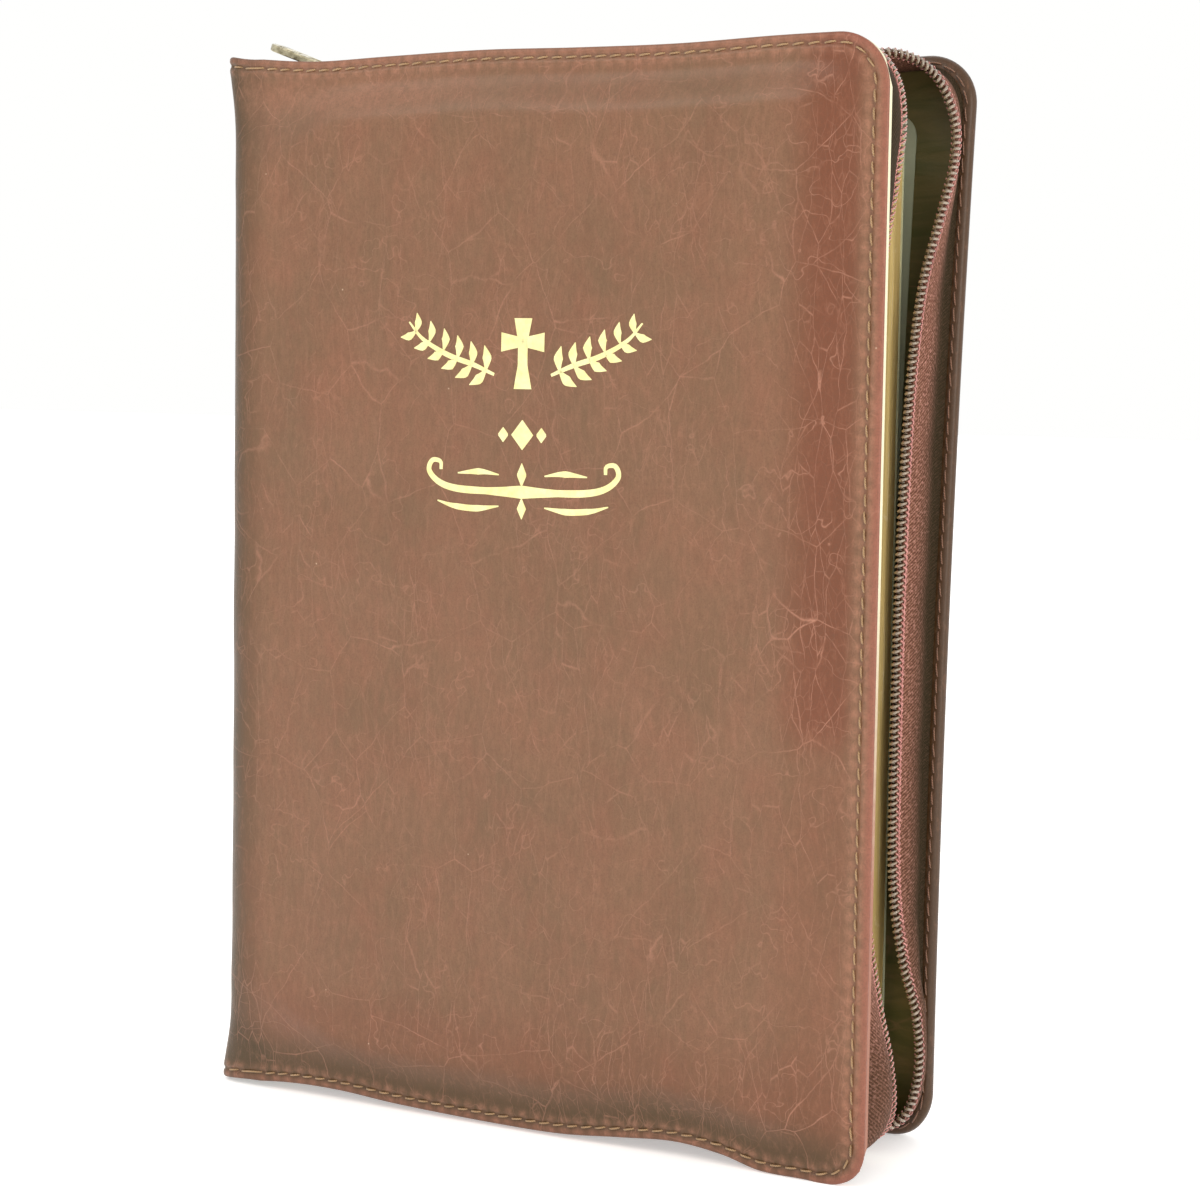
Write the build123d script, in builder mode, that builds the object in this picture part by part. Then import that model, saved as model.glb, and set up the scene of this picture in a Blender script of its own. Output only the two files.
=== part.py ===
"""A large-format bible in a zip-around leather cover, standing on its tail edges.

The spine is on the -X side, the fore edge on the +X side and the front cover faces -Y.
The origin is the middle of the base that the book stands on. All sizes are in millimetres.

Each cover is a stack, from the outside in: a pressed leather skin with a raised panel, a foam
pad and a board under that panel, a pale interlining sheet whose cut edge shows at the rim, a
lining, a pasted-down endpaper, a row of stitches, and one half of the zip: a tape and its coil.
The back cover mirrors the front cover in the plane y = 0.
"""

import os
from math import cos, pi, radians, sin

from build123d import *

# Case
COVER_WIDTH = 170.0
COVER_HEIGHT = 250.0
COVER_CORNER = 12.0
FLANGE_HALF = 23.5  # outer face of the flat rim, from the middle plane
PANEL_RISE = 3.5  # raised panel above the rim
PANEL_SLOPE_X = 14.0  # width of the slope at the fore edge
PANEL_SLOPE_Z = 9.0  # width of the slope at the head and tail
RIM_WIDTH_X = 5.0
RIM_WIDTH_Z = 7.0
LEATHER = 1.0
BOARD = 1.6
INTERLINING = 1.4
LINING = 0.6
ENDPAPER = 0.25
SPINE_RADIUS = 9.0
JOINT_GAP = 0.15  # each side of the hinge line
LAYER_SETBACK = 6.0  # the inner layers stay this far from the hinge line
SPINE_CARD = 1.2
GAUZE = 0.4

# Text block
BLOCK_HALF = 19.4
BLOCK_SPINE_X = -78.4
BLOCK_FORE_X = 73.0
BLOCK_MARGIN_Z = 14.0
BLOCK_CORNER = 6.0
LEAF_HINGE_X = -70.0
FLYLEAF_HINGE_X = -70.4
LEAF_TAPER = 9.0  # a turning group of leaves narrows to its hinge over this length
LEAF_GROUPS = 4  # turning groups on each side of the fixed middle leaves
GROUP_GAP = 0.12
FLYLEAF_GAP = 0.2

# Zip
TAPE_OFFSET = 4.5  # tape from the edge of the cover
TAPE = 0.7
COIL_DIAMETER = 2.4
ROW_HEAD_Y = 2.0  # coil from the middle plane, at the head and tail
ROW_FORE_Y = 7.8  # and along the open fore edge
ROW_SPREAD_X = 50.0  # where the rows start to spread towards the fore edge
ROW_START_X = -67.2

# Slider and pull
SLIDER_X = -73.5
SLIDER_LENGTH = 11.4
SLIDER_HALF_WIDTH = 4.5
SLIDER_CHANNEL_Z = 1.55
SLIDER_SLOT_Z = 0.7
SLIDER_PLATE = 1.2
SLIDER_RAIL = 0.9
BRIDGE_WIDTH = 1.6
BRIDGE_BAR = 0.9
BRIDGE_OPENING = 2.45
PULL_LENGTH = 19.3
PULL_WIDTH = 6.4
PULL_THICKNESS = 1.5
PULL_WINDOW = 8.6
PULL_TILT = 20.0

# Stitches
STITCH_INSET = 3.0
STITCH_PITCH = 3.6
STITCH_LENGTH = 2.6
STITCH_WIDTH = 0.5
STITCH_HEIGHT = 0.35

# Foil ornament on the front panel
FOIL = 0.1
FOIL_CENTRE_X = -1.0
FOIL_CROSS_Z = 181.5
FOIL_DIAMOND_Z = 163.0
FOIL_RULE_Z = 150.0

# Worked out from the driving dimensions
SPINE_X = -COVER_WIDTH / 2
FORE_X = COVER_WIDTH / 2
HINGE_X = SPINE_X + SPINE_RADIUS
LAYER_X = HINGE_X + LAYER_SETBACK
CROWN_HALF = FLANGE_HALF + PANEL_RISE
BLOCK_TOP = COVER_HEIGHT - BLOCK_MARGIN_Z
GROUP = (2 * BLOCK_HALF - 2 * LEAF_GROUPS * GROUP_GAP) / (2 * LEAF_GROUPS + 1)
HEAD_CHAIN_Z = COVER_HEIGHT - TAPE_OFFSET


def leaf_outline(x_low, x_high, z_low, z_high, radius):
    """A rectangle with its two fore-edge corners rounded."""
    with BuildSketch() as outline:
        with Locations(((x_low + x_high) / 2, (z_low + z_high) / 2)):
            Rectangle(x_high - x_low, z_high - z_low)
        fillet(outline.vertices().group_by(Axis.X)[-1], radius)
    return outline.sketch


def cover_outline(x_low, inset, shrink=0.0):
    """The outline of a cover, drawn in from its three free edges."""
    return leaf_outline(
        x_low, FORE_X - inset, inset, COVER_HEIGHT - inset, COVER_CORNER - inset - shrink
    )


def panel_outline(x_low, rise, inset=0.0):
    """The outline of the raised panel at a height above the rim, drawn in by inset."""
    share = rise / PANEL_RISE
    z_low = RIM_WIDTH_Z + share * PANEL_SLOPE_Z + inset
    x_high = FORE_X - RIM_WIDTH_X - share * PANEL_SLOPE_X - inset
    return leaf_outline(x_low, x_high, z_low, COVER_HEIGHT - z_low, COVER_CORNER - 2 * inset)


def front_plane(half):
    """The plane parallel to the front cover at y = -half, facing away from the book."""
    return Plane.XZ.offset(half)


def write(piece, name):
    piece.part.label = name
    export_step(piece.part, f"parts/{name}.step")


def write_both(front, name):
    """Writes a front piece, and its mirror image as the back piece."""
    write(front, f"front_{name}")
    with BuildPart() as back:
        mirror(front.part, about=Plane.XZ)
    write(back, f"back_{name}")


os.makedirs("parts", exist_ok=True)

# ---------------------------------------------------------------- cover stack

with BuildPart() as leather:
    with BuildSketch(front_plane(FLANGE_HALF - LEATHER)):
        add(cover_outline(HINGE_X + JOINT_GAP, 0.0))
    extrude(amount=LEATHER)
    with BuildSketch(front_plane(FLANGE_HALF)):
        add(panel_outline(HINGE_X + JOINT_GAP, 0.0))
    with BuildSketch(front_plane(CROWN_HALF)):
        add(panel_outline(HINGE_X + JOINT_GAP, PANEL_RISE))
    loft()
    with BuildSketch(front_plane(FLANGE_HALF - LEATHER)):
        add(panel_outline(HINGE_X, 0.0, LEATHER))
    with BuildSketch(front_plane(CROWN_HALF - LEATHER)):
        add(panel_outline(HINGE_X, PANEL_RISE, LEATHER))
    loft(mode=Mode.SUBTRACT)
write_both(leather, "leather")

board_half = FLANGE_HALF - LEATHER
with BuildPart() as board:
    with BuildSketch(front_plane(board_half)):
        add(panel_outline(LAYER_X, LEATHER + BOARD, LEATHER))
    extrude(amount=BOARD)
write_both(board, "board")

with BuildPart() as foam:
    with BuildSketch(front_plane(board_half + BOARD)):
        add(panel_outline(LAYER_X, LEATHER + BOARD, LEATHER))
    with BuildSketch(front_plane(CROWN_HALF - LEATHER)):
        add(panel_outline(LAYER_X, PANEL_RISE, LEATHER))
    loft()
write_both(foam, "foam_pad")

with BuildPart() as interlining:
    with BuildSketch(front_plane(board_half - INTERLINING)):
        add(cover_outline(LAYER_X, 0.2))
    extrude(amount=INTERLINING)
write_both(interlining, "interlining")

lining_half = board_half - INTERLINING - LINING
with BuildPart() as lining:
    with BuildSketch(front_plane(lining_half)):
        add(cover_outline(LAYER_X, 0.1))
    extrude(amount=LINING)
write_both(lining, "lining")

with BuildPart() as pastedown:
    with BuildSketch(front_plane(lining_half - ENDPAPER)):
        add(
            leaf_outline(
                LAYER_X + 0.5,
                BLOCK_FORE_X + 1.5,
                BLOCK_MARGIN_Z - 1.5,
                BLOCK_TOP + 1.5,
                BLOCK_CORNER + 1.0,
            )
        )
    extrude(amount=ENDPAPER)
write_both(pastedown, "pastedown")


def stitch_places():
    """Middle and direction of each stitch: (x, z, degrees about Y), round the three free edges."""
    straight_x = FORE_X - COVER_CORNER
    start_x = LAYER_X + 2.0
    radius = COVER_CORNER - STITCH_INSET
    head = int((straight_x - start_x) / STITCH_PITCH)
    fore = int((COVER_HEIGHT - 2 * COVER_CORNER) / STITCH_PITCH)
    bend = round(radius * pi / 2 / STITCH_PITCH)
    places = []
    for z, corner_z, sign in (
        (COVER_HEIGHT - STITCH_INSET, COVER_HEIGHT - COVER_CORNER, 1),
        (STITCH_INSET, COVER_CORNER, -1),
    ):
        places += [(straight_x - (i + 0.5) * STITCH_PITCH, z, 0.0) for i in range(head)]
        for i in range(bend):
            turn = radians(90.0 * (i + 0.5) / bend)
            x = straight_x + radius * cos(turn)
            z_bend = corner_z + sign * radius * sin(turn)
            places.append((x, z_bend, sign * (90.0 - 90.0 * (i + 0.5) / bend)))
    first_z = COVER_HEIGHT / 2 - (fore - 1) * STITCH_PITCH / 2
    places += [(FORE_X - STITCH_INSET, first_z + i * STITCH_PITCH, 90.0) for i in range(fore)]
    return places


with BuildPart() as stitching:
    for half in (FLANGE_HALF + STITCH_HEIGHT / 2, lining_half - STITCH_HEIGHT / 2):
        with Locations(*(Location((x, -half, z), (0, t, 0)) for x, z, t in stitch_places())):
            Box(STITCH_LENGTH, STITCH_HEIGHT, STITCH_WIDTH)
write_both(stitching, "stitching")

# ------------------------------------------------------------------- zip halves

with BuildPart() as zip_coil:
    with BuildLine() as row:
        FilletPolyline(
            (ROW_START_X, -ROW_HEAD_Y, HEAD_CHAIN_Z),
            (ROW_SPREAD_X, -ROW_HEAD_Y, HEAD_CHAIN_Z),
            (FORE_X - TAPE_OFFSET, -ROW_FORE_Y, HEAD_CHAIN_Z),
            (FORE_X - TAPE_OFFSET, -ROW_FORE_Y, TAPE_OFFSET),
            (ROW_SPREAD_X, -ROW_HEAD_Y, TAPE_OFFSET),
            (ROW_START_X, -ROW_HEAD_Y, TAPE_OFFSET),
            radius=[40.0, COVER_CORNER - TAPE_OFFSET, COVER_CORNER - TAPE_OFFSET, 40.0],
        )
    with BuildSketch(row.line ^ 0):
        Circle(COIL_DIAMETER / 2)
    sweep()
write_both(zip_coil, "zip_coil")

tape_edge_y = ROW_HEAD_Y + COIL_DIAMETER / 2
spread_edge_y = ROW_FORE_Y + COIL_DIAMETER / 2
with BuildPart() as zip_tape:
    with BuildSketch(front_plane(tape_edge_y)):
        add(cover_outline(ROW_START_X, TAPE_OFFSET - TAPE / 2))
        add(cover_outline(ROW_START_X - 5.0, TAPE_OFFSET + TAPE / 2), mode=Mode.SUBTRACT)
    extrude(amount=lining_half - tape_edge_y)
    with BuildSketch():
        with BuildLine():
            Polyline(
                (ROW_SPREAD_X, -tape_edge_y),
                (FORE_X - TAPE_OFFSET, -spread_edge_y),
                (FORE_X + 1.0, -spread_edge_y),
                (FORE_X + 1.0, 1.0),
                (ROW_SPREAD_X, 1.0),
                close=True,
            )
        make_face()
    extrude(amount=COVER_HEIGHT, mode=Mode.SUBTRACT)
    add(zip_coil.part, mode=Mode.SUBTRACT)
write_both(zip_tape, "zip_tape")


with BuildPart() as top_stop:
    with Locations((ROW_START_X - 1.0, -ROW_HEAD_Y, TAPE_OFFSET)):
        Box(2.0, COIL_DIAMETER + 1.0, COIL_DIAMETER + 0.8)
    fillet(top_stop.edges().filter_by(Axis.X), 0.5)
write_both(top_stop, "top_stop")

# ------------------------------------------------------------------- foil ornament

with BuildPart() as foil:
    with BuildSketch(front_plane(CROWN_HALF)):
        with Locations((FOIL_CENTRE_X, FOIL_CROSS_Z)):
            Rectangle(2.6, 15.0)
        with Locations((FOIL_CENTRE_X, FOIL_CROSS_Z + 2.4)):
            Rectangle(10.0, 2.6)
        for side in (-1, 1):
            for step in range(4):
                x = FOIL_CENTRE_X + side * (10.5 + 5.8 * step)
                lean = side * (38.0 - 6.0 * step)
                with Locations(
                    Location((x, FOIL_CROSS_Z + 2.9), lean), Location((x, FOIL_CROSS_Z - 2.9), -lean)
                ):
                    Ellipse(3.6 - 0.3 * step, 1.3)
            with Locations((FOIL_CENTRE_X + side * 18.5, FOIL_CROSS_Z)):
                Rectangle(24.0, 0.9)
        with Locations((FOIL_CENTRE_X, FOIL_DIAMOND_Z)):
            Rectangle(4.4, 4.4, rotation=45)
        for side in (-1, 1):
            with Locations((FOIL_CENTRE_X + side * 5.2, FOIL_DIAMOND_Z)):
                Circle(1.0)
        for lift, length in ((1.5, 52.0), (-1.5, 40.0)):
            with Locations((FOIL_CENTRE_X, FOIL_RULE_Z + lift)):
                Rectangle(length, 1.3)
    extrude(amount=FOIL)
write(foil, "front_foil_ornament")

# ------------------------------------------------------------------- spine

with BuildPart() as spine_leather:
    with BuildSketch():
        with Locations((SPINE_X + 15.0, 0)):
            RectangleRounded(30.0, 2 * CROWN_HALF, SPINE_RADIUS)
            RectangleRounded(
                30.0 - 2 * LEATHER, 2 * (CROWN_HALF - LEATHER), SPINE_RADIUS - LEATHER, mode=Mode.SUBTRACT
            )
        with Locations((HINGE_X - JOINT_GAP, 0)):
            Rectangle(60.0, 60.0, align=(Align.MIN, Align.CENTER), mode=Mode.SUBTRACT)
    extrude(amount=COVER_HEIGHT)
write(spine_leather, "spine_leather")

spine_flat = 2 * (CROWN_HALF - SPINE_RADIUS) - 1.0
spine_lift = COVER_HEIGHT - 4 * TAPE_OFFSET
with BuildPart() as spine_card:
    with Locations((SPINE_X + LEATHER, 0, COVER_HEIGHT / 2)):
        Box(SPINE_CARD, spine_flat, spine_lift, align=(Align.MIN, Align.CENTER, Align.CENTER))
write(spine_card, "spine_card")

pad_x = SPINE_X + LEATHER + SPINE_CARD
with BuildPart() as spine_pad:
    with Locations((pad_x, 0, COVER_HEIGHT / 2)):
        Box(
            BLOCK_SPINE_X - GAUZE - pad_x,
            spine_flat,
            spine_lift - 20.0,
            align=(Align.MIN, Align.CENTER, Align.CENTER),
        )
write(spine_pad, "spine_pad")

# ------------------------------------------------------------------- text block

with BuildPart() as sewn_back:
    with Locations((BLOCK_SPINE_X, 0, BLOCK_MARGIN_Z)):
        Box(
            LEAF_HINGE_X - 0.3 - BLOCK_SPINE_X,
            2 * BLOCK_HALF,
            BLOCK_TOP - BLOCK_MARGIN_Z,
            align=(Align.MIN, Align.CENTER, Align.MIN),
        )
write(sewn_back, "sewn_back")

with BuildPart() as spine_gauze:
    with Locations((BLOCK_SPINE_X - GAUZE, 0, BLOCK_MARGIN_Z + 6.0)):
        Box(
            GAUZE,
            2 * BLOCK_HALF,
            BLOCK_TOP - BLOCK_MARGIN_Z - 12.0,
            align=(Align.MIN, Align.CENTER, Align.MIN),
        )
write(spine_gauze, "spine_gauze")

for name, base_z, rise in (("head_band", BLOCK_TOP, 1), ("tail_band", BLOCK_MARGIN_Z, -1)):
    with BuildPart() as band:
        with Locations((BLOCK_SPINE_X + 1.3, 0, base_z + rise * 1.4)):
            Box(2.6, 2 * BLOCK_HALF - 2.0, 2.8)
        fillet(band.faces().sort_by(Axis.Z)[-1 if rise > 0 else 0].edges().filter_by(Axis.Y), 1.2)
    write(band, name)

with BuildPart() as middle_leaves:
    with BuildSketch(front_plane(-GROUP / 2)):
        add(leaf_outline(LEAF_HINGE_X - 0.3, BLOCK_FORE_X, BLOCK_MARGIN_Z, BLOCK_TOP, BLOCK_CORNER))
    extrude(amount=GROUP)
write(middle_leaves, "middle_leaves")

for number in range(1, LEAF_GROUPS + 1):
    face_y = -BLOCK_HALF + (number - 1) * (GROUP + GROUP_GAP)
    with BuildPart() as leaves:
        with BuildSketch(Plane.XY.offset(BLOCK_MARGIN_Z)):
            with BuildLine():
                Polyline(
                    (LEAF_HINGE_X, face_y),
                    (BLOCK_FORE_X, face_y),
                    (BLOCK_FORE_X, face_y + GROUP),
                    (LEAF_HINGE_X + LEAF_TAPER, face_y + GROUP),
                    close=True,
                )
            make_face()
        extrude(amount=BLOCK_TOP - BLOCK_MARGIN_Z)
        fillet(leaves.edges().filter_by(Axis.Y).group_by(Axis.X)[-1], BLOCK_CORNER)
    write_both(leaves, f"leaves_{number}")

with BuildPart() as flyleaf:
    with BuildSketch(front_plane(BLOCK_HALF + FLYLEAF_GAP)):
        add(leaf_outline(FLYLEAF_HINGE_X, BLOCK_FORE_X, BLOCK_MARGIN_Z, BLOCK_TOP, BLOCK_CORNER))
    extrude(amount=ENDPAPER)
write_both(flyleaf, "flyleaf")

# ------------------------------------------------------------------- closed end of the zip

stop_x = SPINE_X + LEATHER
slider_low_x = SLIDER_X - SLIDER_LENGTH / 2
with BuildPart() as end_tapes:
    for side in (-1, 1):
        with Locations((stop_x, side * tape_edge_y, HEAD_CHAIN_Z)):
            Box(
                ROW_START_X - 0.5 - stop_x,
                spine_flat / 2 - tape_edge_y,
                TAPE,
                align=(Align.MIN, Align.MIN if side > 0 else Align.MAX, Align.CENTER),
            )
write(end_tapes, "zip_end_tapes")

with BuildPart() as end_chain:
    with BuildSketch(Plane.YZ.offset(slider_low_x - 1.0)):
        with Locations((-ROW_HEAD_Y, HEAD_CHAIN_Z), (ROW_HEAD_Y, HEAD_CHAIN_Z)):
            Circle(COIL_DIAMETER / 2)
    extrude(amount=ROW_START_X - 0.5 - slider_low_x + 1.0)
write(end_chain, "zip_end_chain")

with BuildPart() as bottom_stop:
    with Locations((slider_low_x - 1.9, 0, HEAD_CHAIN_Z)):
        Box(1.8, 2 * tape_edge_y, COIL_DIAMETER + 1.0)
    fillet(bottom_stop.edges().filter_by(Axis.X), 0.6)
write(bottom_stop, "zip_bottom_stop")

# ------------------------------------------------------------------- slider and pull

plate_z = SLIDER_CHANNEL_Z + SLIDER_PLATE
bridge_high_x = SLIDER_LENGTH / 2
bridge_low_x = -SLIDER_LENGTH / 2 + 1.2
with BuildPart() as slider:
    for side in (-1, 1):
        plate_low_z = HEAD_CHAIN_Z + (SLIDER_CHANNEL_Z if side > 0 else -plate_z)
        with BuildSketch(Plane.XY.offset(plate_low_z)):
            with Locations((SLIDER_X, 0)):
                RectangleRounded(SLIDER_LENGTH, 2 * SLIDER_HALF_WIDTH, 1.6)
        extrude(amount=SLIDER_PLATE)
        for edge in (-1, 1):
            with Locations(
                (
                    SLIDER_X,
                    edge * (SLIDER_HALF_WIDTH - SLIDER_RAIL / 2),
                    HEAD_CHAIN_Z + side * (SLIDER_CHANNEL_Z + SLIDER_SLOT_Z) / 2,
                )
            ):
                Box(SLIDER_LENGTH - 3.2, SLIDER_RAIL, SLIDER_CHANNEL_Z - SLIDER_SLOT_Z)
    with Locations((SLIDER_X + 2.4, 0, HEAD_CHAIN_Z)):
        Box(4.4, 2 * ROW_HEAD_Y - COIL_DIAMETER - 0.7, 2 * SLIDER_CHANNEL_Z)
    with BuildSketch(Plane.XZ.offset(BRIDGE_WIDTH / 2)):
        with Locations((SLIDER_X + (bridge_low_x + bridge_high_x) / 2, HEAD_CHAIN_Z + plate_z)):
            Rectangle(
                bridge_high_x - bridge_low_x, BRIDGE_OPENING + BRIDGE_BAR, align=(Align.CENTER, Align.MIN)
            )
            Rectangle(
                bridge_high_x - bridge_low_x - 1.4,
                BRIDGE_OPENING,
                align=(Align.CENTER, Align.MIN),
                mode=Mode.SUBTRACT,
            )
    extrude(amount=-BRIDGE_WIDTH)
    fillet(slider.edges().filter_by(Axis.Y).group_by(Axis.Z)[-1], 0.7)
write(slider, "slider_body")

pull_x = SLIDER_X + bridge_high_x - 1.9
pull_z = HEAD_CHAIN_Z + plate_z + BRIDGE_OPENING / 2
tilt = radians(PULL_TILT)
pull_plane = Plane(
    origin=(pull_x, 0, pull_z), x_dir=(-cos(tilt), 0, sin(tilt)), z_dir=(sin(tilt), 0, cos(tilt))
)
with BuildPart() as pull:
    with BuildSketch(pull_plane.offset(-PULL_THICKNESS / 2)):
        with Locations((-0.75, 0)):
            RectangleRounded(PULL_LENGTH + 0.75, PULL_WIDTH, 2.6, align=(Align.MIN, Align.CENTER))
        with Locations((0.75, 0)):
            Rectangle(PULL_WINDOW, 2.6, align=(Align.MIN, Align.CENTER), mode=Mode.SUBTRACT)
    extrude(amount=PULL_THICKNESS)
write(pull, "pull_tab")

print("hinge axes: covers", HINGE_X, CROWN_HALF, "leaves", LEAF_HINGE_X)
print("leaf faces", [round(-BLOCK_HALF + n * (GROUP + GROUP_GAP), 4) for n in range(LEAF_GROUPS)])
print("flyleaf face", -(BLOCK_HALF + FLYLEAF_GAP + ENDPAPER), "pull axis", pull_x, pull_z)
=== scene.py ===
import math

import bpy
import numpy as np
from mathutils import Matrix


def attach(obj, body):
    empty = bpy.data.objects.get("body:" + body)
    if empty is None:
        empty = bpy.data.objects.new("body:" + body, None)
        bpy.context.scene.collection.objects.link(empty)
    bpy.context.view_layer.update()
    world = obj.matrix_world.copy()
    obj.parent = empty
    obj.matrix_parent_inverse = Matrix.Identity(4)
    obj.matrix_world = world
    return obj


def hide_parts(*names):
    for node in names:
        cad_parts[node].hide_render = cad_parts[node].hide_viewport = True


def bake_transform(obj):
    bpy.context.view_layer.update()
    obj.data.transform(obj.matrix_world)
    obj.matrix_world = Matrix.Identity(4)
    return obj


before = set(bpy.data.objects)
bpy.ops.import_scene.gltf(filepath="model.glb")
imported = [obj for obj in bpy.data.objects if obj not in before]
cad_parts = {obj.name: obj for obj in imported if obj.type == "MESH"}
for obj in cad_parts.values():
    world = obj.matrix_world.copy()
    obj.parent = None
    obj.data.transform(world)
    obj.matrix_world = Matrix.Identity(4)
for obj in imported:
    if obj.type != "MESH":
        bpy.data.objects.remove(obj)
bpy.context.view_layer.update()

# The whole script works in millimetres in the frame of the CAD model, and make_mesh() turns them
# into metres. "front" is the cover that faces -Y, "back" its opposite.

MM = 0.001
HEIGHT = 250.0
FORE_X = 85.0
HINGE_X = -76.0
COVER_WIDTH = FORE_X - HINGE_X
CORNER = 12.0
SPINE_FLAT = 18.0  # half width of the flat of the spine
SPINE_R = 9.0
ARC = SPINE_R * math.pi / 2
RIM_Y = 23.5  # outer face of the rim, from the middle plane
RISE = 3.5  # of the padded panel over the rim
LINING_Y = 20.5
PITCH = (HEIGHT - 2 * CORNER) / 61.0  # of the stitches
ARC_STITCHES = 4.0  # round a corner
BLOCK_BACK_X, BLOCK_HINGE_X, BLOCK_FORE_X = -78.4, -70.0, 73.0
BLOCK_LOW, BLOCK_TOP = 14.0, 236.0
BLOCK_HALF = 19.4
SIDES = {"front": -1.0, "back": 1.0}


def smooth(t):
    t = np.clip(t, 0.0, 1.0)
    return t * t * (3.0 - 2.0 * t)


def bell(t):
    return np.exp(-t * t)


def waves(seed, count, low, high, height):
    """A gentle unevenness: sine waves in random directions, with wavelengths from low to high."""
    r = np.random.default_rng(seed)
    length = r.uniform(low, high, count)
    way = r.uniform(0, 2 * math.pi, count)
    phase = r.uniform(0, 2 * math.pi, count)

    def field(a, b):
        total = np.zeros(np.broadcast(a, b).shape)
        for k, w, p in zip(2 * math.pi / length, way, phase):
            total += np.sin(k * (a * math.cos(w) + b * math.sin(w)) + p)
        return total * height / math.sqrt(count)

    return field


# ------------------------------------------------------------------ meshes


def make_mesh(name, points, faces, material, sharp=50.0, slots=None, index=None, extra=None):
    """A mesh object from points in millimetres. The rest position is kept as an attribute."""
    points = np.asarray(points, float).reshape(-1, 3)
    mesh = bpy.data.meshes.new(name)
    faces = [tuple(int(i) for i in f) for f in faces]
    mesh.from_pydata((points * MM).tolist(), [], faces)
    rest = mesh.attributes.new("rest", "FLOAT_VECTOR", "POINT")
    rest.data.foreach_set("vector", points.astype(np.float32).ravel())
    for key, values in (extra or {}).items():
        a = mesh.attributes.new(key, "FLOAT", "POINT")
        a.data.foreach_set("value", np.asarray(values, np.float32).ravel())
    for m in [material] + list(slots or []):
        mesh.materials.append(m)
    mesh.polygons.foreach_set("use_smooth", [True] * len(mesh.polygons))
    if index is not None:
        mesh.polygons.foreach_set("material_index", np.asarray(index, np.int32))
    mesh.update()
    mesh.validate()
    mesh.set_sharp_from_angle(angle=math.radians(sharp))
    obj = bpy.data.objects.new(name, mesh)
    bpy.context.scene.collection.objects.link(obj)
    return obj


def grid_faces(rows, cols, wrap_cols=False, start=0, flip=False):
    i, j = np.meshgrid(np.arange(rows - 1), np.arange(cols if wrap_cols else cols - 1), indexing="ij")
    i2, j2 = i + 1, (j + 1) % cols
    quad = np.stack([i * cols + j, i2 * cols + j, i2 * cols + j2, i * cols + j2], -1).reshape(-1, 4)
    return (quad[:, ::-1] if flip else quad) + start


def sheet_faces(rows, cols, flip=False, flip_rim=False):
    """The faces of a thin sheet: one grid of points, a second one behind it, and the rim between."""
    n = rows * cols
    faces = list(grid_faces(rows, cols, flip=flip)) + list(grid_faces(rows, cols, start=n, flip=not flip))
    loop = [(i, 0) for i in range(rows)] + [(rows - 1, j) for j in range(1, cols)]
    loop += [(i, cols - 1) for i in range(rows - 2, -1, -1)] + [(0, j) for j in range(cols - 2, 0, -1)]
    rim = [i * cols + j for i, j in loop]
    for a, b in zip(rim, rim[1:] + rim[:1]):
        quad = [a, a + n, b + n, b]
        faces.append(quad[::-1] if flip_rim else quad)
    return faces


class Batch:
    """Gathers points and faces of many small solids into one mesh."""

    def __init__(self):
        self.points, self.faces, self.count = [], [], 0

    def add(self, points, faces):
        points = np.asarray(points, float).reshape(-1, 3)
        self.faces += [[int(i) + self.count for i in f] for f in faces]
        self.points.append(points)
        self.count += len(points)

    def mesh(self, name, material, sharp=50.0):
        return make_mesh(name, np.concatenate(self.points), self.faces, material, sharp)


def tube(centre, normal, side, radius_n, radius_s, around):
    """A tube along centre, with an elliptical section on the normal and side vectors."""
    n = len(centre)
    a = np.linspace(0, 2 * math.pi, around, endpoint=False)[None, :, None]
    rn = np.broadcast_to(np.asarray(radius_n, float), (n,))[:, None, None]
    rs = np.broadcast_to(np.asarray(radius_s, float), (n,))[:, None, None]
    ring = centre[:, None, :] + rn * np.cos(a) * normal[:, None, :] + rs * np.sin(a) * side[:, None, :]
    faces = [list(f) for f in grid_faces(n, around, wrap_cols=True)]
    faces.append(list(range(around)))
    faces.append([(n - 1) * around + k for k in range(around)][::-1])
    return ring.reshape(-1, 3), faces


def unit(v):
    return v / np.maximum(np.linalg.norm(v, axis=-1, keepdims=True), 1e-9)


def square_to(v, t):
    """The part of each vector v that is square to t, at unit length."""
    return unit(v - (v * t).sum(1, keepdims=True) * t)


def resample(points, step):
    """A smooth curve through the points, with steps of equal length."""
    p = np.asarray(points, float)
    p = np.vstack([2 * p[0] - p[1], p, 2 * p[-1] - p[-2]])
    t = np.linspace(0, 1, 24, endpoint=False)[:, None]
    spans = []
    for a, b, c, d in zip(p, p[1:], p[2:], p[3:]):
        bend = (2 * a - 5 * b + 4 * c - d) * t**2 + (3 * b - a - 3 * c + d) * t**3
        spans.append(0.5 * (2 * b + (c - a) * t + bend))
    path = np.vstack(spans + [p[-2][None]])
    d = np.concatenate([[0], np.cumsum(np.linalg.norm(np.diff(path, axis=0), axis=1))])
    s = np.linspace(0, d[-1], max(2, int(round(d[-1] / step)) + 1))
    return np.stack([np.interp(s, d, path[:, k]) for k in range(3)], -1), s


# ------------------------------------------------------------------ the shape of a cover

unevenness = {s: waves(11 + i, 14, 22.0, 70.0, 0.16) for i, s in enumerate(SIDES)}
fine_folds = {s: waves(31 + i, 20, 6.0, 16.0, 0.022) for i, s in enumerate(SIDES)}


def curve(*knots):
    """A smooth function through the knots, level at both ends."""
    k = np.array(knots, float)
    path, _ = resample(np.stack([k[:, 0], k[:, 1], 0 * k[:, 0]], -1), 0.5)
    order = np.argsort(path[:, 0])
    return lambda u: np.interp(u, path[order, 0], path[order, 1])


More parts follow.
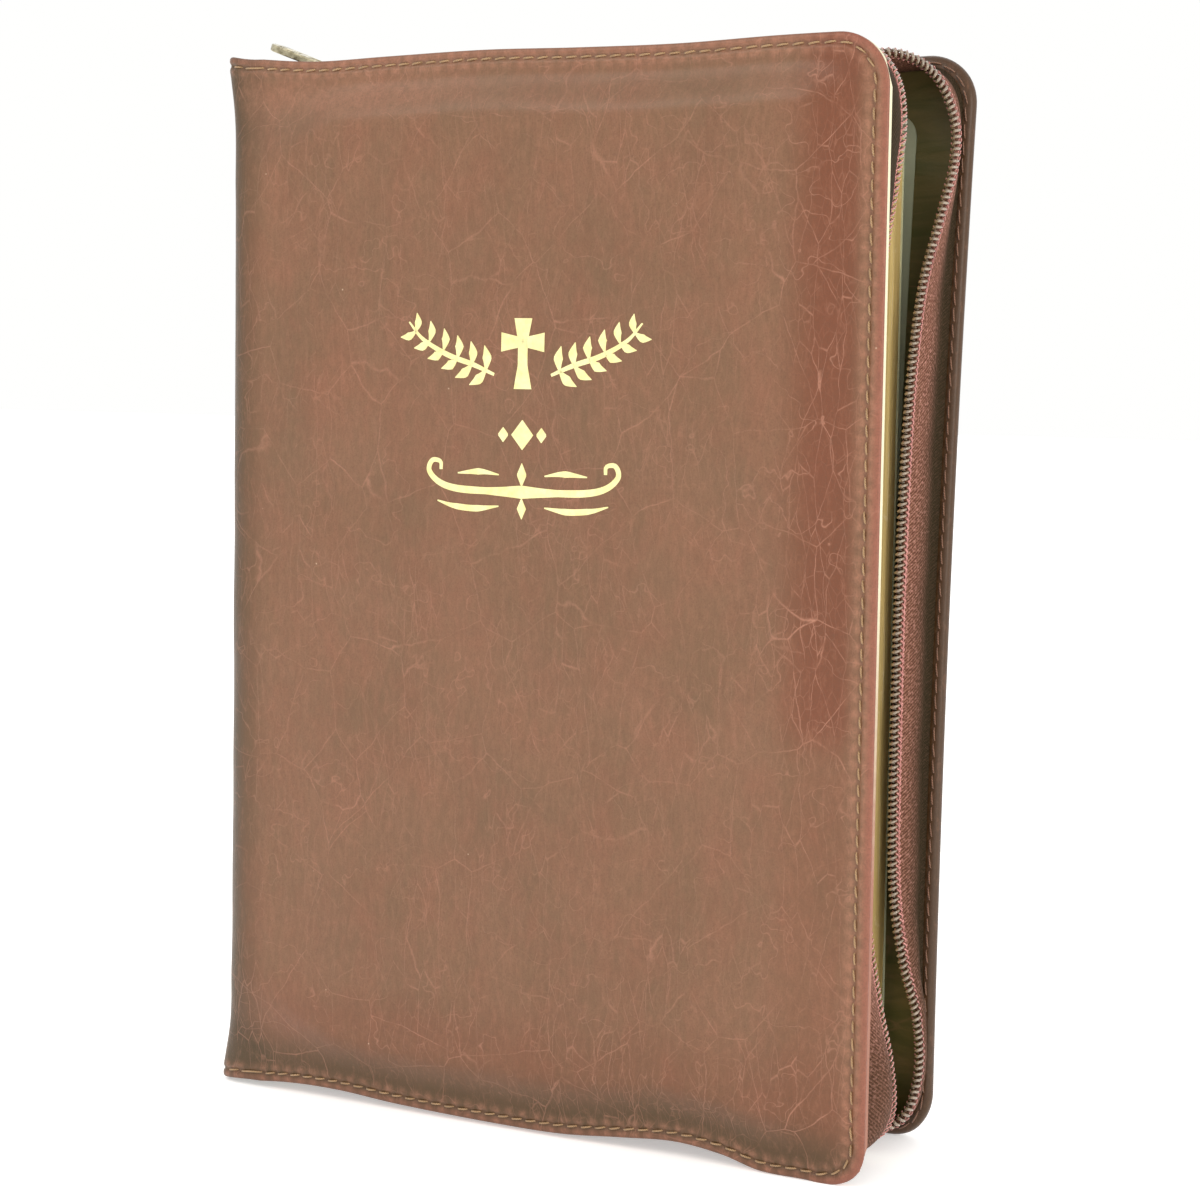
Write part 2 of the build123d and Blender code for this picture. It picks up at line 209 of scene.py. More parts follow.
# how far the head and tail edges wander from straight, along u
HEAD = {
    "front": curve((-99, 2), (-85, 1.8), (-75, 0.6), (-60, -0.4), (-40, 0), (-15, 0.4), (10, -0.1),
                   (35, -0.3), (60, 0.4), (86, 0.6)),
    "back": curve((-99, 2), (-85, 1.6), (-72, 0.4), (-55, 0), (-20, 0), (20, 0.2), (58, 0.5), (70, 1.2),
                  (86, 1.6)),
}
TAIL = {
    "front": curve((-99, 0.4), (-85, 0.4), (-68, 2), (-53, 2.2), (-36, 1.2), (-12, 0.6), (8, 0.7), (24, 2.2),
                   (38, 3.4), (50, 2.3), (60, 0), (72, -0.3), (79, -1.6), (87, -4.2)),
    "back": curve((-99, 1.2), (-60, 1.6), (0, 1.4), (40, 0.6), (60, 0.1), (73, -0.3), (81, -1.2), (87, -1.1)),
}


def edge_drift(side, u, z):
    return HEAD[side](u) * smooth((z - 205.0) / 42.0) + TAIL[side](u) * smooth((45.0 - z) / 42.0)


def spread(x, z):
    """The back cover stands open at the head of the fore edge and a little closed at its tail."""
    reach = np.clip((x - HINGE_X) / COVER_WIDTH, 0.0, 1.1)
    return reach**1.35 * (-2.6 + 13.6 * np.clip(z / HEIGHT, 0, 1.1) ** 2.3)


def flare(z):
    """How far the spine stands out: most at its head and tail, least below the head."""
    up = np.clip(z / HEIGHT, 0.0, 1.0)
    return -0.5 + 1.75 * (1 - up) ** 1.25 + 3.3 * bell(z / 13.0) + 3.2 * bell((HEIGHT - z) / 14.0)


def place(side, u, z, depth):
    """Where a point of a cover lies. u runs along the cover and on round the spine, and depth is
    the distance from the middle plane on the flat of the cover."""
    u, z, depth = np.broadcast_arrays(*(np.asarray(v, float) for v in (u, z, depth)))
    past = np.clip(HINGE_X - u, 0.0, ARC)
    turn = math.pi / 2 * (1.0 - past / ARC)
    power = 2.0 / (2.5 + 0.9 * (bell(z / 22.0) + bell((HEIGHT - z) / 22.0)))
    rx = SPINE_R - RIM_Y + np.minimum(depth, RIM_Y) + flare(z)
    reach = np.clip((u - HINGE_X) / COVER_WIDTH, 0.0, 1.0)
    x = np.where(u >= HINGE_X, u - 1.05 * reach, HINGE_X - rx * np.abs(np.cos(turn)) ** power)
    y = np.where(u >= HINGE_X, depth, SPINE_FLAT + (depth - SPINE_FLAT) * np.abs(np.sin(turn)) ** power)
    y = np.where(u < HINGE_X - ARC, SPINE_FLAT - (HINGE_X - ARC - u), y)
    if side == "back":
        y = y + spread(x, z)
    z = z + edge_drift(side, np.maximum(u, -95.0), z)
    return np.stack([x, SIDES[side] * y, z], -1)


def swell(side, u, z):
    """The raised panel, above the rim."""
    dx = FORE_X - u
    dz = np.minimum(z, HEIGHT - z)
    fade = 11.0 + 15.0 * smooth((-50.0 - u) / 32.0)  # softer towards the spine
    panel = smooth((dx - 4.2) / 16.5) * smooth((dz - 4.6) / fade)
    dome = (1 - np.clip(np.abs(u - 4) / 84, 0, 1) ** 4) * (1 - np.abs(z / 125.0 - 1) ** 4)
    return RISE * panel + (0.55 * dome + unevenness[side](u, z)) * panel


def ring_coordinates(u, z):
    """Distance in from the free edge, and distance along the row of stitches from the middle of
    the fore edge."""
    top = z > HEIGHT / 2
    zz = np.where(top, z, HEIGHT - z)
    cx, cz = FORE_X - CORNER, HEIGHT - CORNER
    a, b = u - cx, zz - cz
    corner = (a > 0) & (b > 0)
    inset = np.where(corner, CORNER - np.hypot(a, b), np.minimum(FORE_X - u, HEIGHT - zz))
    half = cz - HEIGHT / 2
    arc = ARC_STITCHES * PITCH
    along = np.where(a > 0, zz - HEIGHT / 2, half + arc - a)
    along = np.where(corner, half + arc * np.arctan2(b, np.maximum(a, 1e-9)) / (math.pi / 2), along)
    return inset, np.where(top, along, -along)


def stitch_inset(along):
    """The row runs further in on the fore edge than on the head and the tail."""
    return 3.35 - 1.15 * smooth((np.abs(along) - 106.0) / 24.0)


def stitch_point(along, line):
    half, arc = HEIGHT / 2 - CORNER, ARC_STITCHES * PITCH
    s = np.abs(along)
    t = np.clip((s - half) / arc, 0, 1) * math.pi / 2
    r = CORNER - line
    past = np.maximum(s - half - arc, 0)
    u = np.where(s < half, FORE_X - line, FORE_X - CORNER + r * np.cos(t) - past)
    z = np.where(s < half, s, half + r * np.sin(t))
    return u, HEIGHT / 2 + np.sign(along) * z


def pucker(u, z, strength=1.0, line=None):
    inset, along = ring_coordinates(u, z)
    line = stitch_inset(along) if line is None else line
    step = (along / PITCH + 0.5) % 1.0
    near = np.minimum(step, 1.0 - step) * PITCH
    holes = -0.5 * bell(np.hypot(inset - line, near) / 0.6)
    furrow = -0.2 * bell((inset - line) / 0.6)
    pull = 0.24 * (bell((inset - line + 1.3) / 0.7) + bell((inset - line - 1.35) / 0.85))
    pull = pull * (0.4 + 0.6 * np.cos(math.pi * step) ** 2)
    return strength * (holes + furrow + pull)


def outer_depth(side, u, z):
    return RIM_Y + swell(side, u, z) + pucker(u, z) + fine_folds[side](u, z)


# ------------------------------------------------------------------ node materials


def srgb(r, g, b):
    c = np.array([r, g, b]) / 255.0
    c = np.where(c <= 0.04045, c / 12.92, ((c + 0.055) / 1.055) ** 2.4)
    return tuple(float(v) for v in c) + (1.0,)


class Mat:
    """A node material, with short ways to add the usual nodes."""

    def __init__(self, name, **sockets):
        self.m = bpy.data.materials.new(name)
        self.m.use_nodes = True
        self.t = self.m.node_tree
        self.t.nodes.clear()
        self.out = self.t.nodes.new("ShaderNodeOutputMaterial")
        self.bsdf = self.t.nodes.new("ShaderNodeBsdfPrincipled")
        self.t.links.new(self.bsdf.outputs[0], self.out.inputs[0])
        for key, value in sockets.items():
            self.bsdf.inputs[key.replace("_", " ")].default_value = value
        self.normal = None

    def node(self, kind, inputs=None, **props):
        n = self.t.nodes.new("ShaderNode" + kind)
        for k, v in props.items():
            setattr(n, k, v)
        for k, v in (inputs or {}).items():
            self.put(n.inputs[k], v)
        return n

    def put(self, socket, value):
        if isinstance(value, bpy.types.NodeSocket):
            self.t.links.new(value, socket)
        else:
            socket.default_value = value

    def rest(self):
        return self.node("Attribute", attribute_name="rest").outputs["Vector"]

    def value(self, name):
        return self.node("Attribute", attribute_name=name).outputs["Fac"]

    def stretch(self, vector, scale, turn=(0, 0, 0)):
        n = self.node("Mapping", {"Vector": vector})
        n.inputs["Scale"].default_value = scale
        n.inputs["Rotation"].default_value = turn
        return n.outputs[0]

    def noise(self, vector, scale, detail=4.0, rough=0.55, warp=0.0):
        n = self.node("TexNoise", {"Vector": vector, "Scale": scale, "Detail": detail})
        n.inputs["Roughness"].default_value = rough
        n.inputs["Distortion"].default_value = warp
        return n.outputs["Fac"]

    def cells(self, vector, scale, feature="DISTANCE_TO_EDGE", random=1.0):
        n = self.node("TexVoronoi", {"Vector": vector, "Scale": scale}, feature=feature)
        n.inputs["Randomness"].default_value = random
        return n.outputs["Distance"]

    def ramp(self, fac, *stops):
        n = self.node("ValToRGB", {"Fac": fac})
        e = n.color_ramp.elements
        while len(e) < len(stops):
            e.new(0.5)
        for el, (pos, colour) in zip(e, stops):
            el.position = pos
            el.color = colour if isinstance(colour, tuple) else (colour,) * 3 + (1.0,)
        return n.outputs["Color"]

    def mix(self, fac, a, b, blend="MIX"):
        n = self.node("Mix", data_type="RGBA", blend_type=blend)
        self.put(n.inputs[0], fac)
        self.put(n.inputs[6], a)
        self.put(n.inputs[7], b)
        return n.outputs[2]

    def calc(self, op, a, b=0.0, clamp=False):
        n = self.node("Math", operation=op, use_clamp=clamp)
        self.put(n.inputs[0], a)
        self.put(n.inputs[1], b)
        return n.outputs[0]

    def times(self, a, b):
        return self.calc("MULTIPLY", a, b)

    def plus(self, a, b, clamp=False):
        return self.calc("ADD", a, b, clamp)

    def most(self, a, b):
        return self.calc("MAXIMUM", a, b)

    def tint(self, colour, fac, low, high, tone):
        """Lays a tone over the colour, by fac between a low and a high stop."""
        return self.mix(self.ramp(fac, low, high), colour, srgb(*tone))

    def bump(self, height, distance, strength=1.0):
        n = self.node("Bump", {"Height": height, "Strength": strength, "Distance": distance * MM})
        if self.normal is not None:
            self.t.links.new(self.normal, n.inputs["Normal"])
        self.normal = n.outputs[0]
        self.t.links.new(self.normal, self.bsdf.inputs["Normal"])

    def finish(self, colour=None, rough=None):
        if colour is not None:
            self.put(self.bsdf.inputs["Base Color"], colour)
        if rough is not None:
            self.put(self.bsdf.inputs["Roughness"], rough)
        return self.m


def leather_material():
    """Glazed, mottled leather: patches, upright fibres, and a net of fine pale cracks."""
    m = Mat("cover_leather", Coat_Weight=0.14, Coat_Roughness=0.25, Specular_IOR_Level=0.35)
    rest = m.rest()
    red_shade, wear_and_highlight = m.value("painted_red_shade"), m.value("wear_and_highlight")
    shade, edge = m.value("shade"), m.value("edge")

    def bend(vector, scale, amount):
        n = m.node("TexNoise", {"Vector": rest, "Scale": scale, "Detail": 3.0})
        v = m.node("VectorMath", {0: n.outputs["Color"]}, operation="SCALE")
        v.inputs["Scale"].default_value = amount
        return m.node("VectorMath", {0: vector, 1: v.outputs[0]}, operation="ADD").outputs[0]

    bent = bend(bend(rest, 0.04, 6.0), 0.24, 0.8)
    patches = m.noise(m.stretch(rest, (1.0, 1.0, 0.6)), 0.045, 5.0, 0.62)
    colour = m.mix(m.ramp(patches, (0.36, 0.0), (0.66, 1.0)), srgb(124, 87, 61), srgb(112, 82, 56))
    ruddy = m.noise(m.stretch(rest, (1.2, 1.0, 0.7)), 0.085, 6.0, 0.7)
    colour = m.tint(colour, ruddy, (0.42, 0.0), (0.74, 0.45), (134, 80, 57))
    fibres = m.noise(m.stretch(bent, (1.0, 1.0, 0.12)), 1.1, 5.0, 0.7, 0.4)
    colour = m.tint(colour, fibres, (0.46, 0.0), (0.7, 0.24), (150, 100, 77))
    colour = m.tint(colour, fibres, (0.28, 0.2), (0.44, 0.0), (96, 68, 45))
    # painted shade: darker red on the slope by the fore edge and a little above the tail
    colour = m.mix(m.times(red_shade, 0.8), colour, srgb(108, 53, 26))
    colour = m.mix(m.times(shade, 0.85), colour, srgb(56, 43, 6))

    def lines(vector, scale, width, top):
        return m.ramp(m.cells(vector, scale), (0.0, top), (width, 0.0))

    large = lines(m.stretch(bent, (1.0, 1.0, 0.75), (0.0, 0.5, 0.0)), 0.06, 0.009, 1.0)
    upright = lines(m.stretch(bent, (1.7, 1.0, 0.4)), 0.15, 0.02, 0.9)
    small = lines(m.stretch(bent, (1.4, 1.0, 0.55)), 0.36, 0.04, 0.5)
    drift = m.noise(bent, 0.06, 3.0, 0.5)
    wander = m.ramp(drift, (0.4955, 0.0), (0.5, 0.7), (0.5045, 0.0))
    zone = m.ramp(m.noise(rest, 0.035, 3.0), (0.36, 0.25), (0.6, 1.0))
    zone2 = m.ramp(m.noise(m.stretch(rest, (1, 1, 0.6)), 0.05, 4.0, 0.6), (0.4, 0.12), (0.62, 1.0))
    zone2 = m.most(zone2, m.times(red_shade, 0.75))
    net = m.most(m.times(large, zone), m.times(upright, zone2))
    net = m.most(net, m.times(small, m.times(zone2, zone)))
    net = m.most(net, wander)
    broken = m.ramp(m.noise(rest, 0.16, 3.0, 0.6), (0.34, 0.15), (0.56, 1.0))
    net = m.times(net, broken)
    strength = m.plus(m.times(red_shade, 0.3), 0.38)
    colour = m.mix(m.times(net, strength), colour, srgb(190, 134, 110))
    # paler round the stitches, partly wear and partly painted highlight, and a painted highlight below the
    # head
    wear_and_highlight = m.times(wear_and_highlight, m.ramp(m.noise(rest, 0.55, 4.0, 0.7), (0.32, 0.25), (0.62, 1.0)))
    colour = m.mix(m.times(wear_and_highlight, 0.5), colour, srgb(186, 128, 102))
    # the rim: reddish edge colour on the front cover, painted shade on the back cover's rim
    back_rim_shade = m.value("back_rim_shade")
    rim_tone = m.mix(back_rim_shade, srgb(152, 86, 70), srgb(60, 36, 2))
    rim = m.times(edge, m.plus(m.times(back_rim_shade, 0.35), 0.6))
    colour = m.mix(rim, colour, rim_tone)
    specks = m.cells(rest, 0.085, "F1")
    colour = m.tint(colour, specks, (0.0, 0.7), (0.024, 0.0), (236, 206, 176))
    pores = m.noise(rest, 2.4, 6.0, 0.72)
    colour = m.tint(colour, pores, (0.34, 0.4), (0.52, 0.0), (88, 58, 38))
    grain = m.noise(m.stretch(bent, (1.3, 1.0, 0.55)), 0.55, 5.0, 0.75)
    colour = m.tint(colour, grain, (0.32, 0.22), (0.5, 0.0), (94, 62, 40))
    colour = m.tint(colour, grain, (0.52, 0.0), (0.74, 0.2), (168, 116, 90))
    m.bump(net, 0.07, 0.6)
    m.bump(fibres, 0.12, 0.35)
    m.bump(m.cells(rest, 1.7, "F1"), 0.05, 0.4)
    m.bump(pores, 0.05, 0.5)
    gloss = m.plus(m.times(pores, 0.5), m.times(patches, 0.5))
    return m.finish(colour, m.ramp(gloss, (0.3, 0.34), (0.7, 0.52)))


def cloth_coordinates(m):
    along, across = m.value("along"), m.value("across")
    return m.node("CombineXYZ", {0: along, 1: across}).outputs[0]


def core_material():
    """The cut edge of the pale interlining, with painted shade that turns it pinker and darker towards the
    tail.
    """
    m = Mat("interlining")
    rest = m.rest()
    height = m.node("SeparateXYZ", {0: rest}).outputs[2]
    # painted shade, stronger towards the tail and broken by noise
    tail_shade = m.plus(m.times(height, -1.0 / 70.0), 1.75)
    tail_shade = m.plus(tail_shade, m.times(m.noise(rest, 0.35, 3.0), 0.5), clamp=True)
    fibre = m.noise(m.stretch(rest, (1, 6, 1)), 0.9, 4.0)
    pale = m.mix(fibre, srgb(232, 229, 200), srgb(214, 204, 170))
    colour = m.mix(tail_shade, pale, srgb(160, 112, 94))
    m.bump(fibre, 0.08, 0.5)
    return m.finish(colour, 0.85)


def lining_material():
    m = Mat("lining", Coat_Weight=0.06, Coat_Roughness=0.4)
    rest = m.rest()
    bent = m.noise(rest, 0.05, 3.0)
    tone = m.noise(m.stretch(rest, (0.35, 1, 1.6)), 0.11, 5.0, 0.6, 1.2)
    colour = m.mix(m.ramp(tone, (0.35, 0.0), (0.7, 1.0)), srgb(88, 86, 38), srgb(122, 104, 60))
    creases = m.cells(m.stretch(rest, (0.45, 1, 1.5)), 0.09)
    lines = m.ramp(creases, (0.0, 1.0), (0.03, 0.0))
    lines = m.times(lines, m.ramp(bent, (0.4, 0.0), (0.6, 1.0)))
    colour = m.mix(m.times(lines, 0.5), colour, srgb(146, 108, 76))
    m.bump(tone, 0.5, 0.4)
    m.bump(m.cells(rest, 1.5, "F1"), 0.05, 0.5)
    return m.finish(colour, 0.5)


def paper_material(name, light, dark):
    m = Mat(name)
    rest = m.rest()
    fibre = m.noise(m.stretch(rest, (1, 1, 1.8)), 0.5, 6.0, 0.7)
    colour = m.mix(fibre, light, dark)
    m.bump(m.noise(rest, 1.6, 6.0, 0.75), 0.03, 0.5)
    return m.finish(colour, 0.82)


def gilt_material():
    """Page edges: gold leaf over a stack of thin leaves, each one a line."""
    m = Mat("gilt_edge", Metallic=0.35, Specular_IOR_Level=0.5)
    rest = m.rest()
    leaves = m.noise(m.stretch(rest, (0.012, 7.0, 0.012)), 1.0, 5.0, 0.75)
    bands = m.noise(m.stretch(rest, (0.006, 1.1, 0.006)), 1.0, 4.0, 0.6)
    colour = m.mix(m.ramp(leaves, (0.3, 0.0), (0.7, 1.0)), srgb(196, 166, 98), srgb(250, 224, 156))
    colour = m.tint(colour, bands, (0.3, 0.0), (0.72, 0.7), (164, 136, 74))
    scuffs = m.noise(rest, 0.25, 6.0, 0.7)
    colour = m.tint(colour, scuffs, (0.6, 0.0), (0.78, 0.5), (246, 232, 196))
    m.bump(leaves, 0.12, 0.8)
    return m.finish(colour, m.ramp(leaves, (0.2, 0.32), (0.8, 0.52)))


def tape_material():
    """Burgundy brown twill, its ribs running aslant, with painted shade where it is sewn into the cover and
    towards the tail.
    """
    m = Mat("zip_tape", Specular_IOR_Level=0.2)
    c = cloth_coordinates(m)
    ribs = m.node("TexWave", {"Vector": m.stretch(c, (1, 1, 1), (0, 0, 0.75)), "Scale": 0.5,
                              "Distortion": 1.6, "Detail": 2.0}).outputs["Fac"]
    yarn = m.node("TexWave", {"Vector": m.stretch(c, (1, 1, 1), (0, 0, -0.85)), "Scale": 0.8,
                              "Distortion": 1.2}).outputs["Fac"]
    weave = m.times(ribs, m.plus(m.times(yarn, 0.5), 0.5))
    colour = m.mix(m.ramp(weave, (0.15, 0.0), (0.75, 1.0)), srgb(102, 64, 48), srgb(154, 108, 88))
    speckle = m.noise(c, 1.5, 3.0, 0.65)
    colour = m.tint(colour, speckle, (0.36, 0.75), (0.5, 0.0), (84, 46, 36))
    colour = m.tint(colour, speckle, (0.52, 0.0), (0.66, 0.6), (206, 150, 136))
    # painted shade: dark where the tape runs into the gap by the cover, and partly dark low down
    tape_shade = m.value("tape_shade")
    colour = m.mix(m.times(tape_shade, 0.92), colour, srgb(40, 34, 14))
    m.bump(weave, 0.2, 1.0)
    m.bump(m.noise(c, 3.0, 4.0, 0.7), 0.06, 0.5)
    return m.finish(colour, 0.82)


def thread_material(name, light, dark):
    m = Mat(name, Sheen_Weight=0.2, Coat_Weight=0.1)
    rest = m.rest()
    ply = m.node("TexWave", {"Vector": m.stretch(rest, (1, 1, 1), (0.4, 0.7, 0.3)), "Scale": 0.9,
                             "Distortion": 1.5}).outputs["Fac"]
    colour = m.mix(m.times(ply, 0.8), light, dark)
    colour = m.mix(m.ramp(m.noise(rest, 0.4, 3.0), (0.45, 0.0), (0.7, 0.5)), colour, dark)
    m.bump(ply, 0.12, 0.8)
    return m.finish(colour, 0.6)


def coil_material():
    m = Mat("zip_coil", Coat_Weight=0.8, Coat_Roughness=0.08, Specular_IOR_Level=0.8)
    rest = m.rest()
    tone = m.noise(rest, 0.8, 4.0)
    colour = m.mix(tone, srgb(96, 78, 62), srgb(178, 158, 134))
    m.bump(m.noise(rest, 5.0, 3.0), 0.02, 0.4)
    return m.finish(colour, m.ramp(tone, (0.3, 0.16), (0.7, 0.3)))


def brass_material():
    m = Mat("antique_brass", Metallic=1.0)
    rest = m.rest()
    tone = m.noise(rest, 0.45, 6.0, 0.65)
    scratches = m.noise(m.stretch(rest, (6.0, 0.6, 6.0)), 1.2, 4.0, 0.6)
    colour = m.mix(m.ramp(tone, (0.3, 0.0), (0.6, 1.0)), srgb(112, 103, 80), srgb(196, 188, 160))
    colour = m.tint(colour, scratches, (0.58, 0.0), (0.8, 0.5), (84, 76, 54))
    m.bump(scratches, 0.03, 0.5)
    m.bump(tone, 0.08, 0.4)
    return m.finish(colour, m.ramp(tone, (0.3, 0.42), (0.75, 0.26)))


def foil_material():
    m = Mat("gold_foil", Metallic=0.55, Coat_Weight=0.2, Coat_Roughness=0.25)
    rest = m.rest()
    tone = m.noise(rest, 0.35, 6.0, 0.7)
    colour = m.mix(m.ramp(tone, (0.35, 0.0), (0.7, 1.0)), srgb(252, 246, 184), srgb(240, 224, 150))
    m.bump(m.noise(rest, 1.4, 5.0, 0.7), 0.05, 0.6)
    return m.finish(colour, m.ramp(tone, (0.3, 0.26), (0.8, 0.42)))


def plain_material(name, light, dark, scale, rough, depth=0.1):
    """For pieces inside the case. It uses object coordinates, as CAD pieces have no rest attribute."""
    m = Mat(name)
    at = m.node("TexCoord").outputs["Object"]
    at = m.stretch(at, (1 / MM,) * 3)
    tone = m.noise(at, scale, 6.0, 0.65)
    m.bump(m.noise(at, scale * 3.0, 5.0, 0.7), depth, 0.7)
    return m.finish(m.mix(tone, srgb(*light), srgb(*dark)), rough)


leather = leather_material()
core = core_material()
lining = lining_material()
endpaper = paper_material("endpaper", srgb(190, 192, 160), srgb(172, 176, 144))
page = paper_material("page", srgb(240, 232, 208), srgb(228, 218, 190))
gilt = gilt_material()
tape = tape_material()
thread = thread_material("thread", srgb(186, 148, 106), srgb(134, 102, 66))
inner_thread = thread_material("inner_thread", srgb(150, 104, 76), srgb(92, 62, 42))
zip_thread = thread_material("zip_thread", srgb(226, 158, 148), srgb(166, 92, 84))
coil = coil_material()
brass = brass_material()
foil = foil_material()

# ------------------------------------------------------------------ cover skins

# Rings from the hidden inner edge of the leather, over its lip, to the outer face:
# (ring coordinate, distance in from the edge, depth)
LIPS = {
    "front": [(-1.0, 3.0, 22.45), (0.0, 0.25, 22.6), (0.1, 0.04, 22.8), (0.3, 0.1, 23.12),
              (0.6, 0.4, 23.4), (1.0, 0.95, 23.5)],
    "back": [(-7.0, 3.7, 21.1), (-6.0, 3.4, 20.5), (-5.2, 3.1, 20.18), (-4.4, 2.7, 20.05),
             (-3.6, 2.2, 20.0), (-2.8, 1.75, 20.0), (-2.0, 1.2, 20.12), (-1.4, 0.65, 20.42),
             (-1.0, 0.25, 20.95), (-0.6, 0.0, 21.7), (-0.2, 0.1, 22.5), (0.2, 0.45, 23.1),
             (0.7, 0.95, 23.42), (1.0, 1.2, 23.5)],
}
INNER_LINE = 1.75
FACE_RINGS = [1.45, 1.8, 2.15, 2.5, 2.85, 3.2, 3.55, 3.95, 4.5, 5.2, 6.1, 7.2, 8.4, 9.6, 10.8, 12.0]


def rings(side):
    return np.array([q for q, _, _ in LIPS[side]] + FACE_RINGS)


def skin_grid(side):
    ring = rings(side)
    inner_z = np.linspace(CORNER, HEIGHT - CORNER, 253)[1:-1]
    v = np.concatenate([ring, inner_z, HEIGHT - ring[::-1]])
    inner_u = np.linspace(FORE_X - CORNER, HINGE_X, 167)[1:]
    arc_u = HINGE_X - np.linspace(0, ARC, 19)[1:]
    flat_u = HINGE_X - ARC - np.linspace(0, SPINE_FLAT, 10)[1:]
    u = np.concatenate([FORE_X - ring, inner_u, arc_u, flat_u])[::-1]
    return np.meshgrid(u, v, indexing="ij")


def on_outline(side, u, v):
    """Moves grid points onto the rounded outline and returns u, z and the ring coordinate."""
    insets = np.array([i for _, i, _ in LIPS[side]] + FACE_RINGS)
    top = v > HEIGHT / 2
    qu, qv = FORE_X - u, np.where(top, HEIGHT - v, v)
    a, b = (CORNER - qu) / CORNER, (CORNER - qv) / CORNER
    corner = (a > 0) & (b > 0)
    big = np.maximum(a, b)
    q = np.where(corner, CORNER * (1 - big), np.minimum(qu, qv))
    inset = np.where(q < CORNER, np.interp(q, rings(side), insets), q)
    length = np.maximum(np.hypot(a, b), 1e-9)
    radius = (CORNER - inset) / length
    x_c = FORE_X - CORNER + radius * a
    z_c = CORNER - radius * b
    x = np.where(corner, x_c, np.where(qu < qv, FORE_X - inset, u))
    zz = np.where(corner, z_c, np.where(qu < qv, qv, inset))
    return x, np.where(top, HEIGHT - zz, zz), q


def wear(side, u, x, z, q):
    """How far each point of the skin takes painted red shade, wear and painted highlight, painted shade, or
    the colour of the cut edge, from 0 to 1.
    The back rim's painted shade is 1 on the back cover, whose rim is painted darker to stand in for shade."""
    front = side == "front"
    dx, dz = FORE_X - x, np.minimum(z, HEIGHT - z)
    # painted shade: darker and reddish along the slope of the padding by the fore edge, where it turns away
    # from the light, and a little above the tail
    slope = smooth((dx - 4.0) / 4.0) * (1 - smooth((dx - 13.0) / 12.0))
    foot = smooth((dz - 6.0) / 8.0) * (1 - smooth((dz - 18.0) / 16.0)) * (z < HEIGHT / 2)
    painted_red_shade = np.clip(slope * (0.3 + 0.7 * smooth((z - 92.0) / 12.0)) + 0.35 * foot, 0, 1)
    # darker at the turn of the spine and along the tail
    spine_edge = smooth((HINGE_X + 5.0 - u) / 13.0) * (1 - 0.6 * smooth((HINGE_X - 0.6 * ARC - u) / 10.0))
    shade = np.clip(1.15 * spine_edge + 0.95 * (1 - smooth((z - 3.0) / 15.0)), 0, 1)
    # paler on both sides of the stitches: partly wear, partly painted highlight on the puckers
    inset, along = ring_coordinates(x, z)
    line = stitch_inset(along)
    near = np.cos(math.pi * ((along / PITCH + 0.5) % 1.0)) ** 2
    pale = bell((inset - line + 1.25) / 0.8) + 0.9 * bell((inset - line - 1.3) / 0.95)
    wear_and_highlight = np.clip(pale * (0.15 + 0.85 * near), 0, 1)
    edge = 1 - smooth((q - 0.6) / (1.8 if front else 2.2))
    if front:
        edge = edge * (0.3 + 0.7 * smooth((x - 70.0) / 10.0))
        # painted highlight: a pale streak below the head, where a glossy reflection falls on the slope
        head_highlight = bell((dz - 9.0) / 4.5) * (z > HEIGHT / 2)
        head_highlight = head_highlight * smooth((5.0 - x) / 50.0) * smooth((x + 84.0) / 8.0)
        wear_and_highlight = np.maximum(wear_and_highlight, 0.5 * head_highlight)
    return {"painted_red_shade": painted_red_shade, "wear_and_highlight": wear_and_highlight, "shade": shade * (1.0 if front else 0.6), "edge": edge,
            "back_rim_shade": np.full(u.shape, 0.0 if front else 1.0)}


def skin(side):
    u, v = skin_grid(side)
    x, z, q = on_outline(side, u, v)
    lip = LIPS[side]
    over_lip = np.interp(q, [ring for ring, _, _ in lip], [depth for _, _, depth in lip])
    start, end = lip[-1][0], 1.9
    face = RIM_Y + (outer_depth(side, x, z) - RIM_Y) * smooth((q - start + 0.3) / (end - start))
    depth = np.where(q <= start, over_lip, face)
    if side == "back":
        inner = (q < -1.6) & (q > -4.6)
        depth = np.where(inner, depth - pucker(x, z, 0.35, INNER_LINE), depth)
    return make_mesh(f"{side}_skin", place(side, x, z, depth), grid_faces(*u.shape, flip=(side == "front")),
                     leather, 60.0, extra=wear(side, u, x, z, q))


pieces = {f"{side}_skin": skin(side) for side in SIDES}


